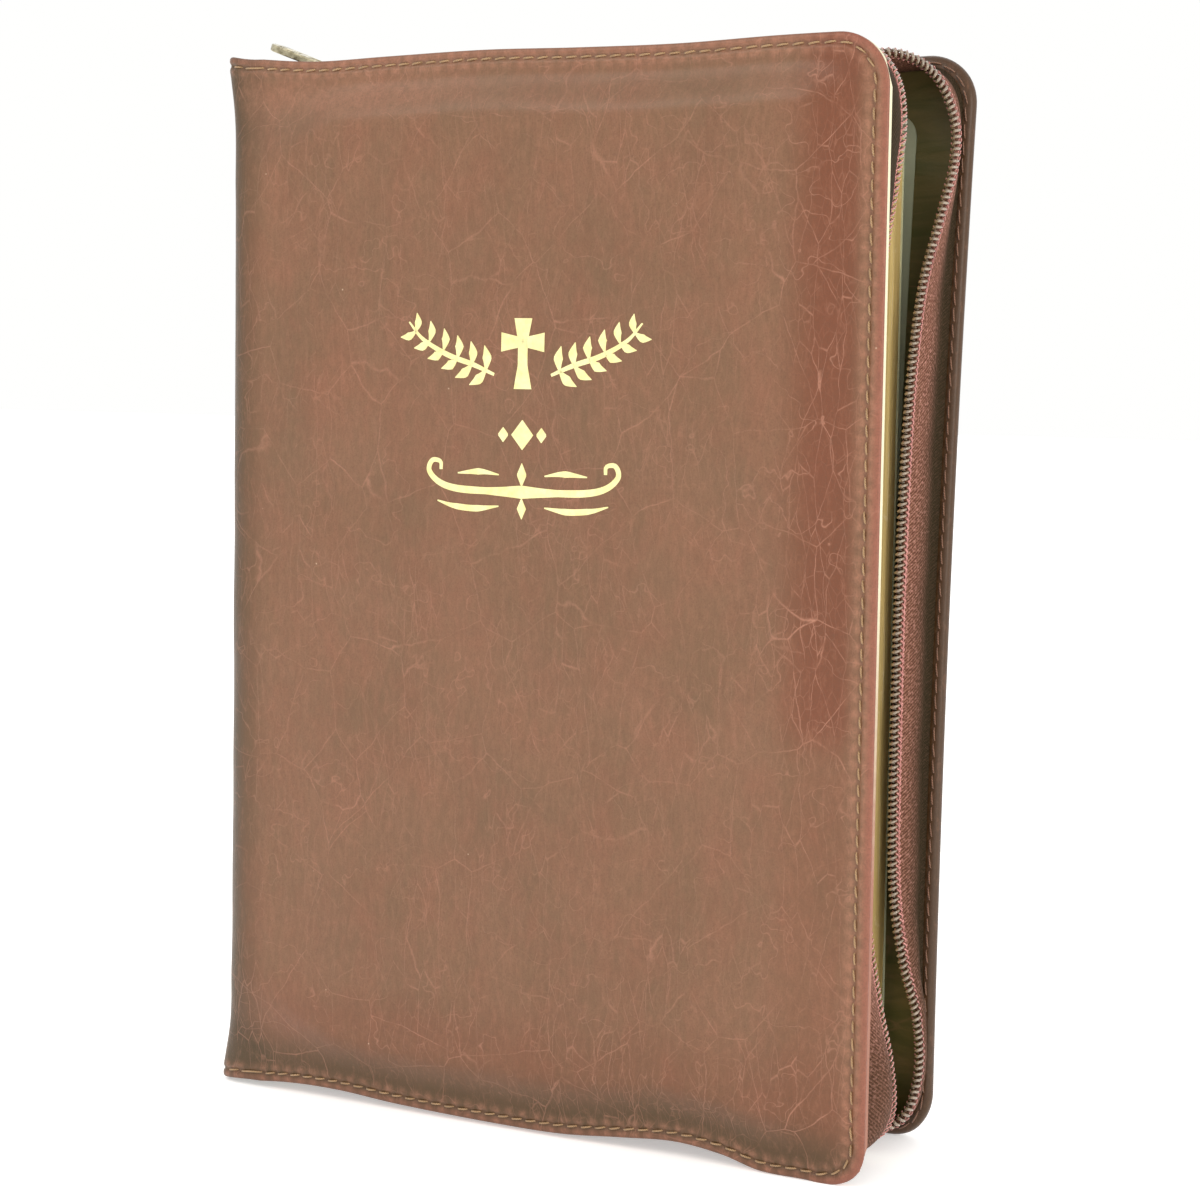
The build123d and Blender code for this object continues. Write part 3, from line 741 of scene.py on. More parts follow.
def plate(name, side, inset, low, high, u_end, material, bumps=None, step=4.0, radius=None):
    """A layer of a cover between two depths, with rounded fore-edge corners."""
    r = (CORNER - inset) if radius is None else radius
    ring = np.array([0.0, 0.5, 1.2, 2.2, 3.4, 4.8])
    ring = ring[ring < r - 0.3]
    edge = np.concatenate([ring, [r]])
    zs = np.arange(inset + r, HEIGHT - inset - r, step)[1:]
    v = np.concatenate([inset + edge, zs, HEIGHT - inset - edge[::-1]])
    us = np.linspace(FORE_X - inset - r, u_end, max(3, int((FORE_X - u_end) / step)))[1:]
    u = np.concatenate([FORE_X - inset - edge, us])[::-1]
    u, v = np.meshgrid(u, v, indexing="ij")
    top = v > HEIGHT / 2
    qu, qv = FORE_X - inset - u, np.where(top, HEIGHT - v, v) - inset
    a, b = (r - qu) / r, (r - qv) / r
    corner = (a > 0) & (b > 0)
    scale = np.maximum(a, b) / np.maximum(np.hypot(a, b), 1e-9)
    x = np.where(corner, FORE_X - inset - r + r * a * scale, u)
    zz = np.where(corner, inset + r - r * b * scale, np.where(top, HEIGHT - v, v))
    z = np.where(top, HEIGHT - zz, zz)
    lift = 0.0 if bumps is None else bumps(x, z)
    outer = place(side, x, z, np.full_like(x, high))
    inner = place(side, x, z, low - lift)
    faces = sheet_faces(*x.shape, flip=(side == "front"), flip_rim=(side == "back"))
    return make_mesh(name, np.concatenate([outer, inner]), faces, material, 40.0)


crease_field = {s: waves(51 + i, 10, 14.0, 40.0, 0.12) for i, s in enumerate(SIDES)}


CREASE_DEPTH = 0.95
CREASES = ((240.5, 0.8, 0.012), (234.0, 0.75, -0.02), (229.8, 0.5, 0.03), (221.0, 0.5, 0.05))  # z, size, tilt


def creases(side):
    """Folds across the lining near its head, flat under the endpaper and at the rim."""
    def field(x, z):
        lift = crease_field[side](x * 0.5, z)
        for z0, size, tilt in CREASES:
            lift = lift + size * bell((z - z0 - tilt * (x - 60)) / 0.9) * smooth((x - 10) / 40)
        edge = np.minimum(FORE_X - x, np.minimum(z, HEIGHT - z))
        lift = np.minimum(lift, CREASE_DEPTH - 0.9 * smooth((edge - 11.0) / 1.8))
        return np.maximum(lift, -0.25) * smooth((edge - 5.5) / 2.0)
    return field


for side in SIDES:
    foam = plain_material(f"{side}_foam", (196, 190, 170), (170, 160, 140), 0.8, 0.9)
    for name, inset, low, high, end, material, more in (
        ("edge", 0.15 if side == "front" else 1.6, 21.15, 22.62, -74.0, core, {}),
        ("pad", 18.0, 22.6, 25.6, -70.0, foam, {"radius": 6.0, "step": 12.0}),
        ("lining_sheet", 0.5 if side == "front" else 2.9, LINING_Y, 21.0, HINGE_X - ARC - 10.0, lining,
         {"bumps": creases(side), "step": 2.0}),
        ("endpaper", 13.2, 20.12, 20.42, -79.0, endpaper, {"radius": 5.5, "step": 3.0}),
    ):
        name = f"{side}_{name}"
        pieces[name] = plate(name, side, inset, low, high, end, material, **more)

# ------------------------------------------------------------------ stitches


def stitches(side):
    """Each stitch is a short arched tube: a row on the outer face and a row on the inner one."""
    outer, inner = Batch(), Batch()
    t = np.array([0.0, 0.04, 0.12, 0.3, 0.5, 0.7, 0.88, 0.96, 1.0])
    height = np.array([-0.5, -0.2, 0.1, 0.22, 0.25, 0.22, 0.1, -0.2, -0.5])
    fat = np.array([0.13, 0.17, 0.21, 0.24, 0.25, 0.24, 0.21, 0.17, 0.13])
    r = np.random.default_rng(3 if side == "front" else 4)
    for face in (1.0, -1.0):
        reach = COVER_WIDTH + (8.0 if face > 0 else -6.0)
        last = HEIGHT / 2 - CORNER + ARC_STITCHES * PITCH + reach - CORNER
        count = int(last / PITCH)
        for k in np.arange(-count - 0.5, count + 0.5):
            along = (k + 0.08 + 0.84 * t) * PITCH
            line = stitch_inset(along) if face > 0 else (INNER_LINE if side == "back" else 3.0)
            u, z = stitch_point(along, line + (t - 0.5) * r.uniform(0.2, 0.5))
            if face > 0:
                depth = outer_depth(side, u, z) + height * r.uniform(0.85, 1.15)
            else:
                depth = (20.0 if side == "back" else 20.5) - 0.1 - height * 0.7
            p = place(side, u, z, depth)
            q = place(side, u, z, depth + 0.5 * face)
            n = unit(q - p)
            across = unit(np.cross(unit(np.gradient(p, axis=0)), n))
            if face > 0:
                outer.add(*tube(p, n, across, fat * 0.85, fat, 7))
            else:
                inner.add(*tube(p, n, across, fat * 0.7, fat * 0.8, 7))
    pieces[f"{side}_stitches"] = outer.mesh(f"{side}_stitches", thread, 180.0)
    pieces[f"{side}_inner_stitches"] = inner.mesh(f"{side}_inner_stitches", inner_thread, 180.0)


for side in SIDES:
    stitches(side)

# ------------------------------------------------------------------ zip

ROW_Y, HEAD_Z, TAIL_Z = 2.0, HEIGHT - 4.5, 4.5
HEAD_RUN = (-79.5, -60, -30, 0, 25, 46)
TAIL_RUN = (45, 25, 0, -30, -67)
# between the straight runs along the head and the tail, each row bows out at both corners
BENDS = {
    "front": [(60, 3, 247), (72, 5, 248.5), (79.5, 8.5, 242), (82, 10, 232), (80.5, 10, 219),
              (78, 10, 200), (77, 9.5, 165), (76.5, 9.5, 115), (76.5, 9.5, 80), (78, 9.5, 55),
              (81, 9.5, 38), (83.5, 8.5, 25), (83, 5.5, 12), (76.5, 4, 5.5), (60, 3, 4.5)],
    "back": [(60, 4.5, 247.5), (72, 8.5, 249.5), (79, 16, 245.5), (83, 19, 236), (84, 17.5, 226),
             (82, 14.5, 213), (79, 11.5, 196), (77, 10.5, 170), (76, 10, 130), (76, 9.5, 90), (76.5, 9.5, 62),
             (79, 10, 44), (82.5, 11, 30), (83.5, 9.5, 16), (79.5, 5, 6.5), (60, 3.5, 4.5)],
}


def zip_route(side):
    head = [(x, ROW_Y, HEAD_Z) for x in HEAD_RUN]
    tail = [(x, ROW_Y, TAIL_Z) for x in TAIL_RUN]
    return [(x, SIDES[side] * y, z) for x, y, z in head + BENDS[side] + tail]


HEM_IN = 4.4
COIL_PITCH = 1.4
COIL_STEP = COIL_PITCH / 12
TAPE_HALF = 0.24  # half its thickness
TAPE_EVERY = 6  # coil steps between two columns of the tape


def hem_point(x, z):
    """The nearest point of the line where the tape leaves the lining."""
    r = CORNER - HEM_IN
    cx = FORE_X - CORNER
    zz = np.abs(z - HEIGHT / 2)
    cz = HEIGHT / 2 - CORNER
    a, b = x - cx, zz - cz
    corner = (a > 0) & (b > 0)
    length = np.maximum(np.hypot(a, b), 1e-6)
    hx = np.where(corner, cx + r * a / length, np.where(a > 0, FORE_X - HEM_IN, x))
    hz = np.where(corner, cz + r * b / length, np.where(b > 0, HEIGHT / 2 - HEM_IN, zz))
    nx = np.where(corner, a / length, np.where(a > 0, 1.0, 0.0))
    nz = np.where(corner, b / length, np.where(a > 0, 0.0, 1.0))
    sign = np.sign(z - HEIGHT / 2)
    return hx, HEIGHT / 2 + sign * hz, nx, sign * nz


def tape_grid(side, row, s):
    """The tape from its hem in the lining to the coil: points, distance across it, and the way from
    the coil back into the tape."""
    hx, hz, nx, nz = hem_point(row[:, 0], row[:, 2])
    for _ in range(3):
        for arr in (hx, hz, nx, nz):
            arr[2:-2] = (arr[:-4] + arr[1:-3] + arr[2:-2] + arr[3:-1] + arr[4:]) / 5
    hem = place(side, hx, hz, np.full_like(hx, LINING_Y + 0.15))
    out = np.stack([nx, 0 * nx, nz], -1)
    wide = np.linalg.norm(row - hem, axis=1)
    slack = np.clip(17.5 - wide, 0.0, 9.0) * 0.2
    fold = bell((row[:, 2] - 19.0) / 13.0) * (row[:, 0] > 60) * (3.0 if side == "front" else 0.6)
    sway = 0.5 * np.sin(s * 2 * math.pi / 37.0) + 0.3 * np.sin(s * 2 * math.pi / 17.3 + 1.0)
    share = np.concatenate([[0.0, 0.04, 0.09], np.linspace(0.15, 1.0, 12)])
    sheet = []
    for t in share:
        arch = math.sin(math.pi * min(1.0, t * 1.04))
        p = hem + (row - hem) * t + out * ((slack + fold + 0.3 * sway) * arch)[:, None]
        # the hem lies flat on the lining before it turns up
        sheet.append(p + out * (1.6 * (1 - smooth(t / 0.2))))
    sheet = np.array(sheet)
    back = unit(sheet[-2] - sheet[-1])
    sheet[-1] = sheet[-1] + back * 0.7  # the tape stops just short of the coil's middle
    return sheet, share[:, None] * wide, back


def tape_piece(side, sheet, cross, s):
    normal = unit(np.cross(np.gradient(sheet, axis=0), np.gradient(sheet, axis=1)))
    height = sheet[..., 2]
    # painted shade on the tape: dark from its hem outwards, across more of the front tape up high, and partly
    # dark near the tail
    low = smooth((60.0 - height) / 18.0)
    start, fade = (7.5 - 6.5 * low, 5.0 - 2.5 * low) if side == "front" else (1.5, 8.0)
    tape_shade = np.maximum(1 - smooth((cross - start) / fade), 0.5 * smooth((42.0 - height) / 20.0))
    measures = {"along": np.broadcast_to(s, cross.shape), "across": cross, "tape_shade": tape_shade}
    return make_mesh(f"{side}_tape", np.concatenate([sheet + TAPE_HALF * normal, sheet - TAPE_HALF * normal]),
                     sheet_faces(*cross.shape), tape, 60.0,
                     extra={key: np.tile(values.ravel(), 2) for key, values in measures.items()})


def coil_wire(side, row, s, inward, face):
    """One long wire wound round the edge of the tape, flatter at the head of each turn."""
    turn = 2 * math.pi * s / COIL_PITCH
    reach = 0.98 * np.cos(turn) + 0.08 * np.cos(3 * turn)
    wire = row + inward * (reach + 0.1)[:, None] + face * (0.74 * np.sin(turn))[:, None]
    tangent = unit(np.gradient(wire, axis=0))
    normal = square_to(unit(wire - row), tangent)
    fat = 0.29 + 0.09 * (0.5 - 0.5 * np.cos(turn))
    return make_mesh(f"{side}_coil", *tube(wire, normal, np.cross(tangent, normal), fat, fat, 6), coil, 180.0)


def interpolate(at, s, v):
    return np.stack([np.interp(at, s, v[:, k]) for k in range(3)], -1)


def zip_seam(side, row, s, inward, face):
    """The thread that holds the coil: slanting loops over each turn, and a chain along each face."""
    seam = Batch()
    w = np.linspace(0.0, 1.0, 7)
    reach = 0.25 + 1.4 * w
    lift = 0.72 * np.cos(0.5 * math.pi * w) ** 0.7 + 0.36

    def sew(line, up):
        tangent = unit(np.gradient(line, axis=0))
        seam.add(*tube(line, unit(np.cross(tangent, up)), up, 0.2, 0.16, 5))

    for way, shift in ((1.0, 0.5), (-1.0, 0.25)):
        for k in range(int(s[-1] / COIL_PITCH)):
            at = (k + shift + 0.75 * w) * COIL_PITCH
            p, i, f = (interpolate(at, s, v) for v in (row, inward, face))
            sew(p + i * reach[:, None] + f * (way * lift)[:, None], f)
    turn = 2 * math.pi * s / COIL_PITCH
    for way in (1.0, -1.0):
        line = row + inward * (1.7 + 0.16 * np.cos(turn))[:, None]
        line = line + face * (way * (0.38 + 0.12 * np.sin(turn)))[:, None]
        sew(line[::2], face[::2])
    return seam.mesh(f"{side}_zip_seam", zip_thread, 180.0)


for side in SIDES:
    row, s = resample(zip_route(side), COIL_STEP)
    s = s * COIL_STEP / (s[1] - s[0])
    s_tape = s[::TAPE_EVERY]
    sheet, cross, back = tape_grid(side, row[::TAPE_EVERY], s_tape)
    pieces[f"{side}_tape"] = tape_piece(side, sheet, cross, s_tape)
    tangent = unit(np.gradient(row, axis=0))
    inward = square_to(interpolate(s, s_tape, back), tangent)
    face = np.cross(tangent, inward)
    pieces[f"{side}_coil"] = coil_wire(side, row, s, inward, face)
    pieces[f"{side}_zip_seam"] = zip_seam(side, row, s, inward, face)

# ------------------------------------------------------------------ text block

GROUPS = 4
SHARE = 2 * BLOCK_HALF / (2 * GROUPS + 1)
LEAF_STEP = 0.35


def squeeze(x, y):
    """The leaves lie tighter together at the fore edge than at the sewn back."""
    return -BLOCK_HALF + (y + BLOCK_HALF) * (1.0 - 0.135 * smooth((x + 70.0) / 120.0))


def leaf_block(name, y_low, y_high, x_low, x_high, corner=5.5, seed=0):
    """A stack of leaves: paper on its two faces, gilt edges with a line for every few leaves."""
    r = np.random.default_rng(100 + seed)
    layers = max(2, int(round((y_high - y_low) / LEAF_STEP)) + 1)
    arc = np.radians(np.linspace(0, 90, 7))[1:]
    turn, low, high = x_high - corner, BLOCK_LOW + corner, BLOCK_TOP - corner
    xs = np.linspace(x_low, turn, 34)
    outline = [(x, BLOCK_LOW) for x in xs]
    outline += [(turn + corner * math.sin(t), low - corner * math.cos(t)) for t in arc]
    outline += [(x_high, z) for z in np.linspace(low, high, 36)[1:]]
    outline += [(turn + corner * math.cos(t), high + corner * math.sin(t)) for t in arc]
    outline += [(x, BLOCK_TOP) for x in xs[-2::-1]]
    outline += [(x_low, z) for z in np.linspace(BLOCK_TOP, BLOCK_LOW, 28)[1:-1]]
    o = np.array(outline)
    m = len(o)
    up = o[:, 1] - HEIGHT / 2
    at_end = np.abs(up) > (BLOCK_TOP - BLOCK_LOW) / 2 - 0.01
    way = np.stack([o[:, 0] > x_high - 0.01, np.sign(up) * at_end], -1)
    points = []
    for k, y in enumerate(np.linspace(y_low, y_high, layers)):
        jitter = r.uniform(-0.09, 0.05)
        rounding = -0.12 if k in (0, layers - 1) else 0.0
        drift = 0.04 * np.sin(np.arange(m) * 0.9 + r.uniform(0, 6.28))
        x, z = (o + way * (jitter + rounding + drift)[:, None]).T
        x = x - 0.7 * (1 - (y / BLOCK_HALF) ** 2) * smooth((x - 40) / 33.0)  # hollow at the fore edge
        points.append(np.stack([x, squeeze(x, np.full(m, y)), z], -1))
    edges = [list(f) for f in grid_faces(layers, m, wrap_cols=True)]
    ends = [list(range(m)), list(range((layers - 1) * m, layers * m))[::-1]]
    index = [1] * len(edges) + [0] * len(ends)
    return make_mesh(name, np.array(points), edges + ends, page, 35.0, slots=[gilt], index=index)


def leaf_sheet(name, side, y, x_low, x_high, thick=0.22, corner=5.5):
    """A flyleaf, as a fine grid so that it can bend."""
    turn = x_high - corner
    us = np.concatenate([np.linspace(x_low, -48, 24)[:-1], np.linspace(-48, turn, 24)[:-1],
                         turn + corner * np.sin(np.radians(np.linspace(0, 90, 8)))])
    inset = np.where(us > turn, corner - np.sqrt(np.maximum(corner**2 - (us - turn) ** 2, 0)), 0.0)
    x, share = np.meshgrid(us, np.linspace(0, 1, 30))
    z = BLOCK_LOW + inset + share * (BLOCK_TOP - BLOCK_LOW - 2 * inset)
    base = squeeze(x, y) if side == "back" else y
    base = base + waves(77, 8, 60, 160, 0.08)(x, z) * smooth((x + 60) / 60)
    faces = [np.stack([x, base + off, z], -1) for off in (-thick / 2, thick / 2)]
    return make_mesh(name, np.concatenate(faces), sheet_faces(*x.shape), endpaper, 50.0)


leaf_pieces = {}
for side, sign in SIDES.items():
    for n in range(GROUPS):
        a = BLOCK_HALF - n * SHARE
        low, high = sorted((sign * a, sign * (a - SHARE + 0.03)))
        leaf_pieces[f"{side}_leaves_{n + 1}"] = leaf_block(
            f"{side}_leaf_stack_{n + 1}", low, high, BLOCK_HINGE_X, BLOCK_FORE_X,
            seed=n + (10 if side == "back" else 0))
    leaf_pieces[f"{side}_flyleaf"] = leaf_sheet(
        f"{side}_flyleaf_sheet", side, sign * (BLOCK_HALF + 0.16), -70.4, BLOCK_FORE_X + 0.2)
middle = leaf_block("middle_leaf_stack", -SHARE / 2, SHARE / 2, BLOCK_HINGE_X, BLOCK_FORE_X, seed=30)
sewn = leaf_block("sewn_sections", -BLOCK_HALF, BLOCK_HALF, BLOCK_BACK_X, BLOCK_HINGE_X + 0.02, corner=0.3,
                  seed=31)


def band(name, z, up):
    """A woven band over the end of the sewn back, its threads side by side."""
    ys = np.linspace(-BLOCK_HALF + 0.8, BLOCK_HALF - 0.8, 241)
    rib = 0.12 * np.cos((ys - ys[0]) * 2 * math.pi / 1.2)
    centre = np.stack([np.full_like(ys, BLOCK_BACK_X + 1.3), ys, np.full_like(ys, z + up)], -1)
    upward, along_x = (np.tile(v, (len(ys), 1)) for v in ([0.0, 0.0, 1.0], [1.0, 0.0, 0.0]))
    roll = tube(centre, upward, along_x, 1.15 + rib, 1.2 + rib, 14)
    m = Mat(name + "_thread", Sheen_Weight=0.4)
    y = m.node("SeparateXYZ", {0: m.rest()}).outputs[1]
    stripe = m.calc("SINE", m.times(y, 2 * math.pi / 2.4))
    colour = m.mix(m.ramp(stripe, (0.45, 0.0), (0.55, 1.0)), srgb(196, 168, 110), srgb(110, 34, 30))
    m.bump(m.noise(m.stretch(m.rest(), (1, 6, 1)), 1.0, 4.0), 0.1, 0.8)
    return make_mesh(name, *roll, m.finish(colour, 0.6), 180.0)


head_roll = band("head_roll", BLOCK_TOP, 1)
tail_roll = band("tail_roll", BLOCK_LOW, -1)

# ------------------------------------------------------------------ metal


def bevelled(outline, low, high, bevel, matrix, holes=()):
    """A flat piece with rounded edges from an outline, and holes cut through it."""
    curve = bpy.data.curves.new("outline", "CURVE")
    curve.dimensions = "2D"
    curve.fill_mode = "BOTH"
    for loop in [outline] + list(holes):
        sp = curve.splines.new("POLY")
        sp.points.add(len(loop) - 1)
        for p, (x, y) in zip(sp.points, loop):
            p.co = (x, y, 0, 1)
        sp.use_cyclic_u = True
    curve.extrude = (high - low) / 2 - bevel
    curve.bevel_depth = bevel
    curve.offset = -bevel
    curve.bevel_resolution = 3
    tmp = bpy.data.objects.new("outline", curve)
    bpy.context.scene.collection.objects.link(tmp)
    mesh = bpy.data.meshes.new_from_object(tmp)
    bpy.data.objects.remove(tmp)
    pts = np.array([v.co for v in mesh.vertices])
    pts[:, 2] += (high + low) / 2
    faces = [tuple(p.vertices) for p in mesh.polygons]
    bpy.data.meshes.remove(mesh)
    matrix = np.asarray(matrix)
    return pts @ matrix[:3, :3].T + matrix[:3, 3], faces


def rounded(x0, x1, y0, y1, r, n):
    """A rectangle with round corners of radius r, n points each."""
    out = []
    low_x, high_x, low_y, high_y = x0 + r, x1 - r, y0 + r, y1 - r
    for cx, cy, a0 in ((high_x, high_y, 0), (low_x, high_y, 90), (low_x, low_y, 180), (high_x, low_y, 270)):
        for t in np.radians(np.linspace(a0, a0 + 90, n)):
            out.append((cx + r * math.cos(t), cy + r * math.sin(t)))
    return out


SLIDER_X, PULL_X, PULL_Z = -73.5, -69.7, 249.725
TILT = math.radians(20.0)
pull_matrix = np.array([
    [-math.cos(TILT), 0, math.sin(TILT), PULL_X],
    [0, -1, 0, 0],
    [math.sin(TILT), 0, math.cos(TILT), PULL_Z],
    [0, 0, 0, 1],
])
tab = [(-0.75, -2.1), (0.4, -2.35), (8.0, -2.7), (14.2, -3.2)]
tab += [(17.4 + 3.2 * math.cos(t), 3.2 * math.sin(t)) for t in np.radians(np.linspace(-80, 80, 15))]
tab += [(14.2, 3.2), (8.0, 2.7), (0.4, 2.35), (-0.75, 2.1)]
window = rounded(0.75, 9.3, -1.3, 1.3, 0.6, 4)
panel = rounded(12.2, 18.8, -1.9, 1.9, 1.8, 8)
pull_batch = Batch()
pull_batch.add(*bevelled(tab, -0.85, 0.85, 0.3, pull_matrix, holes=[window]))
pull_batch.add(*bevelled(panel, 0.6, 0.98, 0.12, pull_matrix))
pull = pull_batch.mesh("pull_plate", brass, 40.0)


def slider_piece():
    """Two shield plates with flanges, the wedge between them, and the bridge that holds the pull."""
    batch, place_at = Batch(), Matrix.Translation((SLIDER_X, 0, 0))
    shield = [(-5.7, -2.6), (-4.6, -3.6), (-1.0, -4.1), (3.2, -4.5), (5.0, -4.3), (5.7, -3.2), (5.7, -1.1),
              (4.4, 0.0)]
    shield += [(x, -y) for x, y in shield[-2::-1]]
    wedge = [(0.4, 0.0), (2.4, -0.42), (4.6, -0.42), (4.6, 0.42), (2.4, 0.42)]
    solids = [(shield, 1.55, 2.75, 0.35), (shield, -2.75, -1.55, 0.35)]
    for middle_y in (-4.1, 4.1):
        flange = rounded(-4.0, 4.0, middle_y - 0.42, middle_y + 0.42, 0.3, 4)
        solids += [(flange, 0.7, 1.7, 0.12), (flange, -1.7, -0.7, 0.12)]
    solids.append((wedge, -1.6, 1.6, 0.08))
    for outline, low, high, bevel in solids:
        batch.add(*bevelled(outline, HEAD_Z + low, HEAD_Z + high, bevel, place_at))
    bridge = np.array([(-4.2, 2.6), (-4.2, 3.9), (-3.9, 4.9), (-3.0, 5.55), (0.4, 5.7), (3.9, 5.6),
                       (5.0, 5.1), (5.35, 4.0), (5.35, 2.6)])
    path, _ = resample(np.stack([SLIDER_X + bridge[:, 0], 0 * bridge[:, 0], HEAD_Z + bridge[:, 1]], -1), 0.35)
    across = np.tile([0.0, 1.0, 0.0], (len(path), 1))
    batch.add(*tube(path, np.cross(unit(np.gradient(path, axis=0)), across), across, 0.42, 0.82, 12))
    return batch.mesh("zip_slider", brass, 40.0)


slider = slider_piece()


def stop(name, x, y, z):
    """A small crimped block, between limits in x, y and z."""
    outline = rounded(*x, *y, min(x[1] - x[0], y[1] - y[0]) * 0.3, 4)
    return make_mesh(name, *bevelled(outline, *z, 0.3, Matrix()), brass, 40.0)


end_stop = stop("end_stop", (-82.6, -80.6), (-3.3, 3.3), (HEAD_Z - 1.7, HEAD_Z + 1.7))
for side, sign in SIDES.items():
    y = sorted((sign * 0.3, sign * 3.7))
    pieces[f"{side}_stop"] = stop(f"{side}_stop", (-69.4, -67.0), y, (2.9, 6.1))

# ------------------------------------------------------------------ foil ornament

ORNAMENT_X = -1.0
ribbons = []


def ribbon(*knots, mirror=1):
    """A flat shape along a centre line. Each knot is x from the ornament's middle, z and a width."""
    x, z, width = np.array(knots, float).T
    p, _ = resample(np.stack([ORNAMENT_X + mirror * x, 0 * x, z], -1), 0.5)
    w = np.interp(np.linspace(0, 1, len(p)), np.linspace(0, 1, len(x)), width)
    t = unit(np.gradient(p, axis=0))
    across = np.stack([-t[:, 2], 0 * w, t[:, 0]], -1)
    ribbons.append(p[:, None, :] + across[:, None, :] * (w[:, None] * np.linspace(-0.5, 0.5, 5))[..., None])


def pair(*knots):
    for mirror in (1, -1):
        ribbon(*knots, mirror=mirror)


# top tier: a cross between two leafy sprays
ribbon((0, 189.4, 4.6), (0, 188.2, 3.6), (0, 185.0, 2.5), (0, 181.0, 2.5), (0, 176.0, 2.5), (0, 174.4, 3.6),
       (0, 173.4, 4.6))
ribbon((-5.6, 184.0, 4.4), (-4.4, 184.0, 3.4), (-2.0, 184.0, 2.5), (2.0, 184.0, 2.5), (4.4, 184.0, 3.4),
       (5.6, 184.0, 4.4))
pair((7.4, 176.6, 0.7), (13.0, 178.8, 1.2), (20.0, 181.0, 1.25), (26.5, 184.4, 1.0), (30.4, 188.4, 0.4))
for i in range(6):
    f = i / 5.0
    x0, z0 = 9.6 + 19.0 * f, 177.6 + 8.6 * f**1.25
    size = 5.6 - 1.3 * f
    for way in (1, -1):
        a = math.radians(24 + 14 * f) + way * math.radians(62 - 6 * f)
        dx, dz = size * math.cos(a), size * math.sin(a)
        belly = (x0 + dx / 2 - way * 0.5 * math.sin(a), z0 + dz / 2 + way * 0.5 * math.cos(a), 2.5 - 0.5 * f)
        pair((x0, z0, 0.5), belly, (x0 + dx, z0 + dz, 0.15))
# middle tier: a lozenge between two small ones
for x0, size in ((0.0, 3.4), (-5.0, 1.7), (5.0, 1.7)):
    ribbon((x0, 163.0 + size, 0.1), (x0, 163.0, 1.7 * size), (x0, 163.0 - size, 0.1))
# bottom tier: a swelling rule with scrolls at its ends, and beads
pair((0.0, 150.0, 3.0), (8.0, 150.0, 2.2), (17.0, 150.3, 1.6), (22.0, 151.6, 1.7), (24.8, 154.2, 1.6),
     (24.0, 156.6, 1.4), (21.8, 156.4, 1.2), (21.6, 154.6, 0.8))
pair((6.0, 146.6, 0.3), (12.0, 145.9, 1.5), (18.0, 146.3, 1.4), (22.4, 147.4, 0.3))
pair((6.0, 153.8, 0.3), (11.0, 154.4, 1.5), (17.0, 153.9, 0.3))
ribbon((0, 156.6, 0.1), (0, 153.9, 2.6), (0, 151.2, 0.1))
ribbon((0, 148.6, 0.1), (0, 146.2, 2.4), (0, 143.8, 0.1))

foil_batch = Batch()
for g in ribbons:
    x, z = g[..., 0], g[..., 2]
    base = outer_depth("front", x, z)
    layers = [place("front", x, z, base + off) for off in (0.10, -0.12)]
    foil_batch.add(np.concatenate(layers), sheet_faces(*x.shape))
ornament = foil_batch.mesh("front_ornament", foil, 40.0)

# ------------------------------------------------------------------ bodies


for side, sign in SIDES.items():
    body = f"{side}_cover"
    for key in ("edge", "pad"):
        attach(pieces[f"{side}_{key}"], body)
    for key in ("skin", "stitches", "inner_stitches"):
        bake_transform(pieces[f"{side}_{key}"])
    for key in ("lining_sheet", "endpaper"):
        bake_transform(pieces[f"{side}_{key}"])
    for key in ("tape", "coil", "zip_seam", "stop"):
        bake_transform(pieces[f"{side}_{key}"])
    for n in range(GROUPS):
        leaves = f"{side}_leaves_{n + 1}"
        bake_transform(leaf_pieces[leaves])
    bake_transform(leaf_pieces[f"{side}_flyleaf"])

# what each piece of a side stands for, and its material slot
SIDE_PIECES = {
    "skin": ("cover_leather", "{}_leather", "spine_leather"),
    "edge": ("interlining", "{}_interlining"),
    "pad": ("foam", "{}_foam_pad", "{}_board"),
    "lining_sheet": ("lining", "{}_lining"),
    "endpaper": ("endpaper", "{}_pastedown"),
    "stitches": ("thread", "{}_stitching"),
    "inner_stitches": ("thread", "{}_stitching"),
    "tape": ("zip_tape", "{}_zip_tape", "zip_end_tapes"),
    "coil": ("zip_coil", "{}_zip_coil", "zip_end_chain"),
    "zip_seam": ("zip_tape",),
    "stop": ("antique_brass", "{}_top_stop"),
}
for side in SIDES:
    for key, (slot, *nodes) in SIDE_PIECES.items():
        if nodes:
            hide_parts(*(node.format(side) for node in nodes))
for node, piece in leaf_pieces.items():
    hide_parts(node)
for piece, body, node, slot in (
    (middle, "spine", "middle_leaves", "leaves"),
    (sewn, "spine", "sewn_back", "leaves"),
    (head_roll, "spine", "head_band", "band"),
    (tail_roll, "spine", "tail_band", "band"),
    (end_stop, "spine", "zip_bottom_stop", "antique_brass"),
    (slider, "slider", "slider_body", "antique_brass"),
    (pull, "pull", "pull_tab", "antique_brass"),
    (ornament, "front_cover", "front_foil_ornament", "foil"),
):
    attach(piece, body)
    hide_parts(node)

inside = plain_material("spine_lining", (52, 40, 28), (76, 54, 38), 0.3, 0.7)
gauze = plain_material("gauze", (190, 180, 150), (130, 120, 96), 1.2, 0.9, 0.3)
for node, material in (("spine_card", inside), ("spine_pad", inside), ("spine_gauze", gauze)):
    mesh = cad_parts[node].data
    mesh.materials.clear()
    mesh.materials.append(material)

# ------------------------------------------------------------------ floor, light, camera


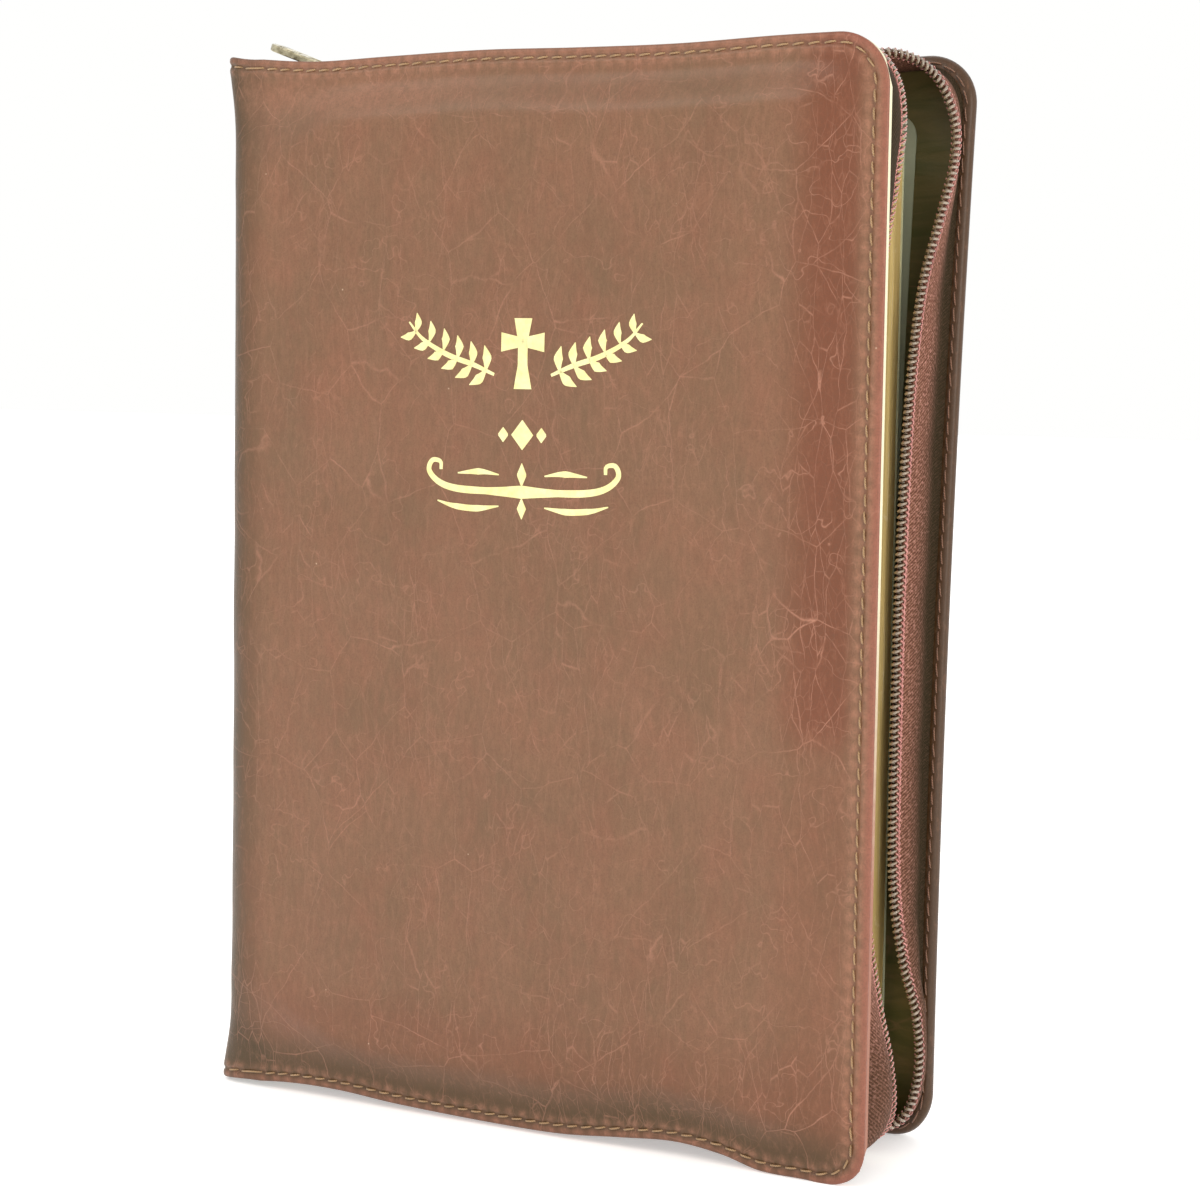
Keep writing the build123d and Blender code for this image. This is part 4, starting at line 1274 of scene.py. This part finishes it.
def stage():
    mesh = bpy.data.meshes.new("floor")
    r, z = 6.0, -0.3 * MM
    mesh.from_pydata([(-r, -r, z), (r, -r, z), (r, r, z), (-r, r, z)], [], [(0, 1, 2, 3)])
    floor = bpy.data.objects.new("floor", mesh)
    bpy.context.scene.collection.objects.link(floor)
    m = Mat("floor")
    at = m.node("TexCoord").outputs["Object"]
    pale = m.mix(m.noise(at, 3.0), (0.93, 0.93, 0.92, 1), (0.95, 0.95, 0.945, 1))
    mesh.materials.append(m.finish(pale, 0.9))
    m.bsdf.inputs["Emission Color"].default_value = (1.0, 1.0, 1.0, 1.0)
    m.bsdf.inputs["Emission Strength"].default_value = 0.42

    world = bpy.data.worlds.new("studio")
    bpy.context.scene.world = world
    world.use_nodes = True
    bg = world.node_tree.nodes["Background"]
    bg.inputs["Color"].default_value = (1.0, 1.0, 0.99, 1.0)
    bg.inputs["Strength"].default_value = 1.0
    bpy.context.scene.view_settings.view_transform = "Standard"

    def light(name, at, aim, size, power, colour=(1, 1, 1)):
        data = bpy.data.lights.new(name, "AREA")
        data.shape = "RECTANGLE"
        data.size, data.size_y = size
        data.energy = power
        data.color = colour
        obj = bpy.data.objects.new(name, data)
        bpy.context.scene.collection.objects.link(obj)
        z = unit(np.array(at, float) - np.array(aim, float))
        x = unit(np.cross([0, 0, 1.0], z))
        y = np.cross(z, x)
        mat = Matrix(np.stack([x, y, z], 1).tolist()).to_4x4()
        mat.translation = at
        obj.matrix_world = mat

    light("key", (-0.6, -1.2, 1.25), (0, 0, 0.15), (0.8, 0.5), 4.7, (1.0, 0.94, 0.84))
    light("right", (1.1, -0.36, 0.42), (0.05, 0, 0.15), (0.35, 0.8), 4.1, (1.0, 0.95, 0.87))
    light("back", (-0.3, 1.2, 0.8), (0, 0, 0.12), (1.0, 0.6), 1.5)


CAMERA_AT = (0.28717, -0.54139, 0.17968)
CAMERA_TURN = (27.556, 5.244, 0.790)  # yaw, pitch and roll, degrees
LENS, SENSOR = 77.66, 36.0


def camera():
    yaw, pitch, roll = (math.radians(v) for v in CAMERA_TURN)
    f = np.array([-math.sin(yaw) * math.cos(pitch), math.cos(yaw) * math.cos(pitch), -math.sin(pitch)])
    r = np.array([math.cos(yaw), math.sin(yaw), 0.0])
    u = np.cross(r, f)
    r2 = math.cos(roll) * r + math.sin(roll) * u
    u2 = -math.sin(roll) * r + math.cos(roll) * u
    data = bpy.data.cameras.new("camera")
    data.lens, data.sensor_width = LENS, SENSOR
    data.clip_start = 0.01
    obj = bpy.data.objects.new("camera", data)
    bpy.context.scene.collection.objects.link(obj)
    mat = Matrix(np.stack([r2, u2, -f], 1).tolist()).to_4x4()
    mat.translation = CAMERA_AT
    obj.matrix_world = mat
    bpy.context.scene.camera = obj


stage()
camera()
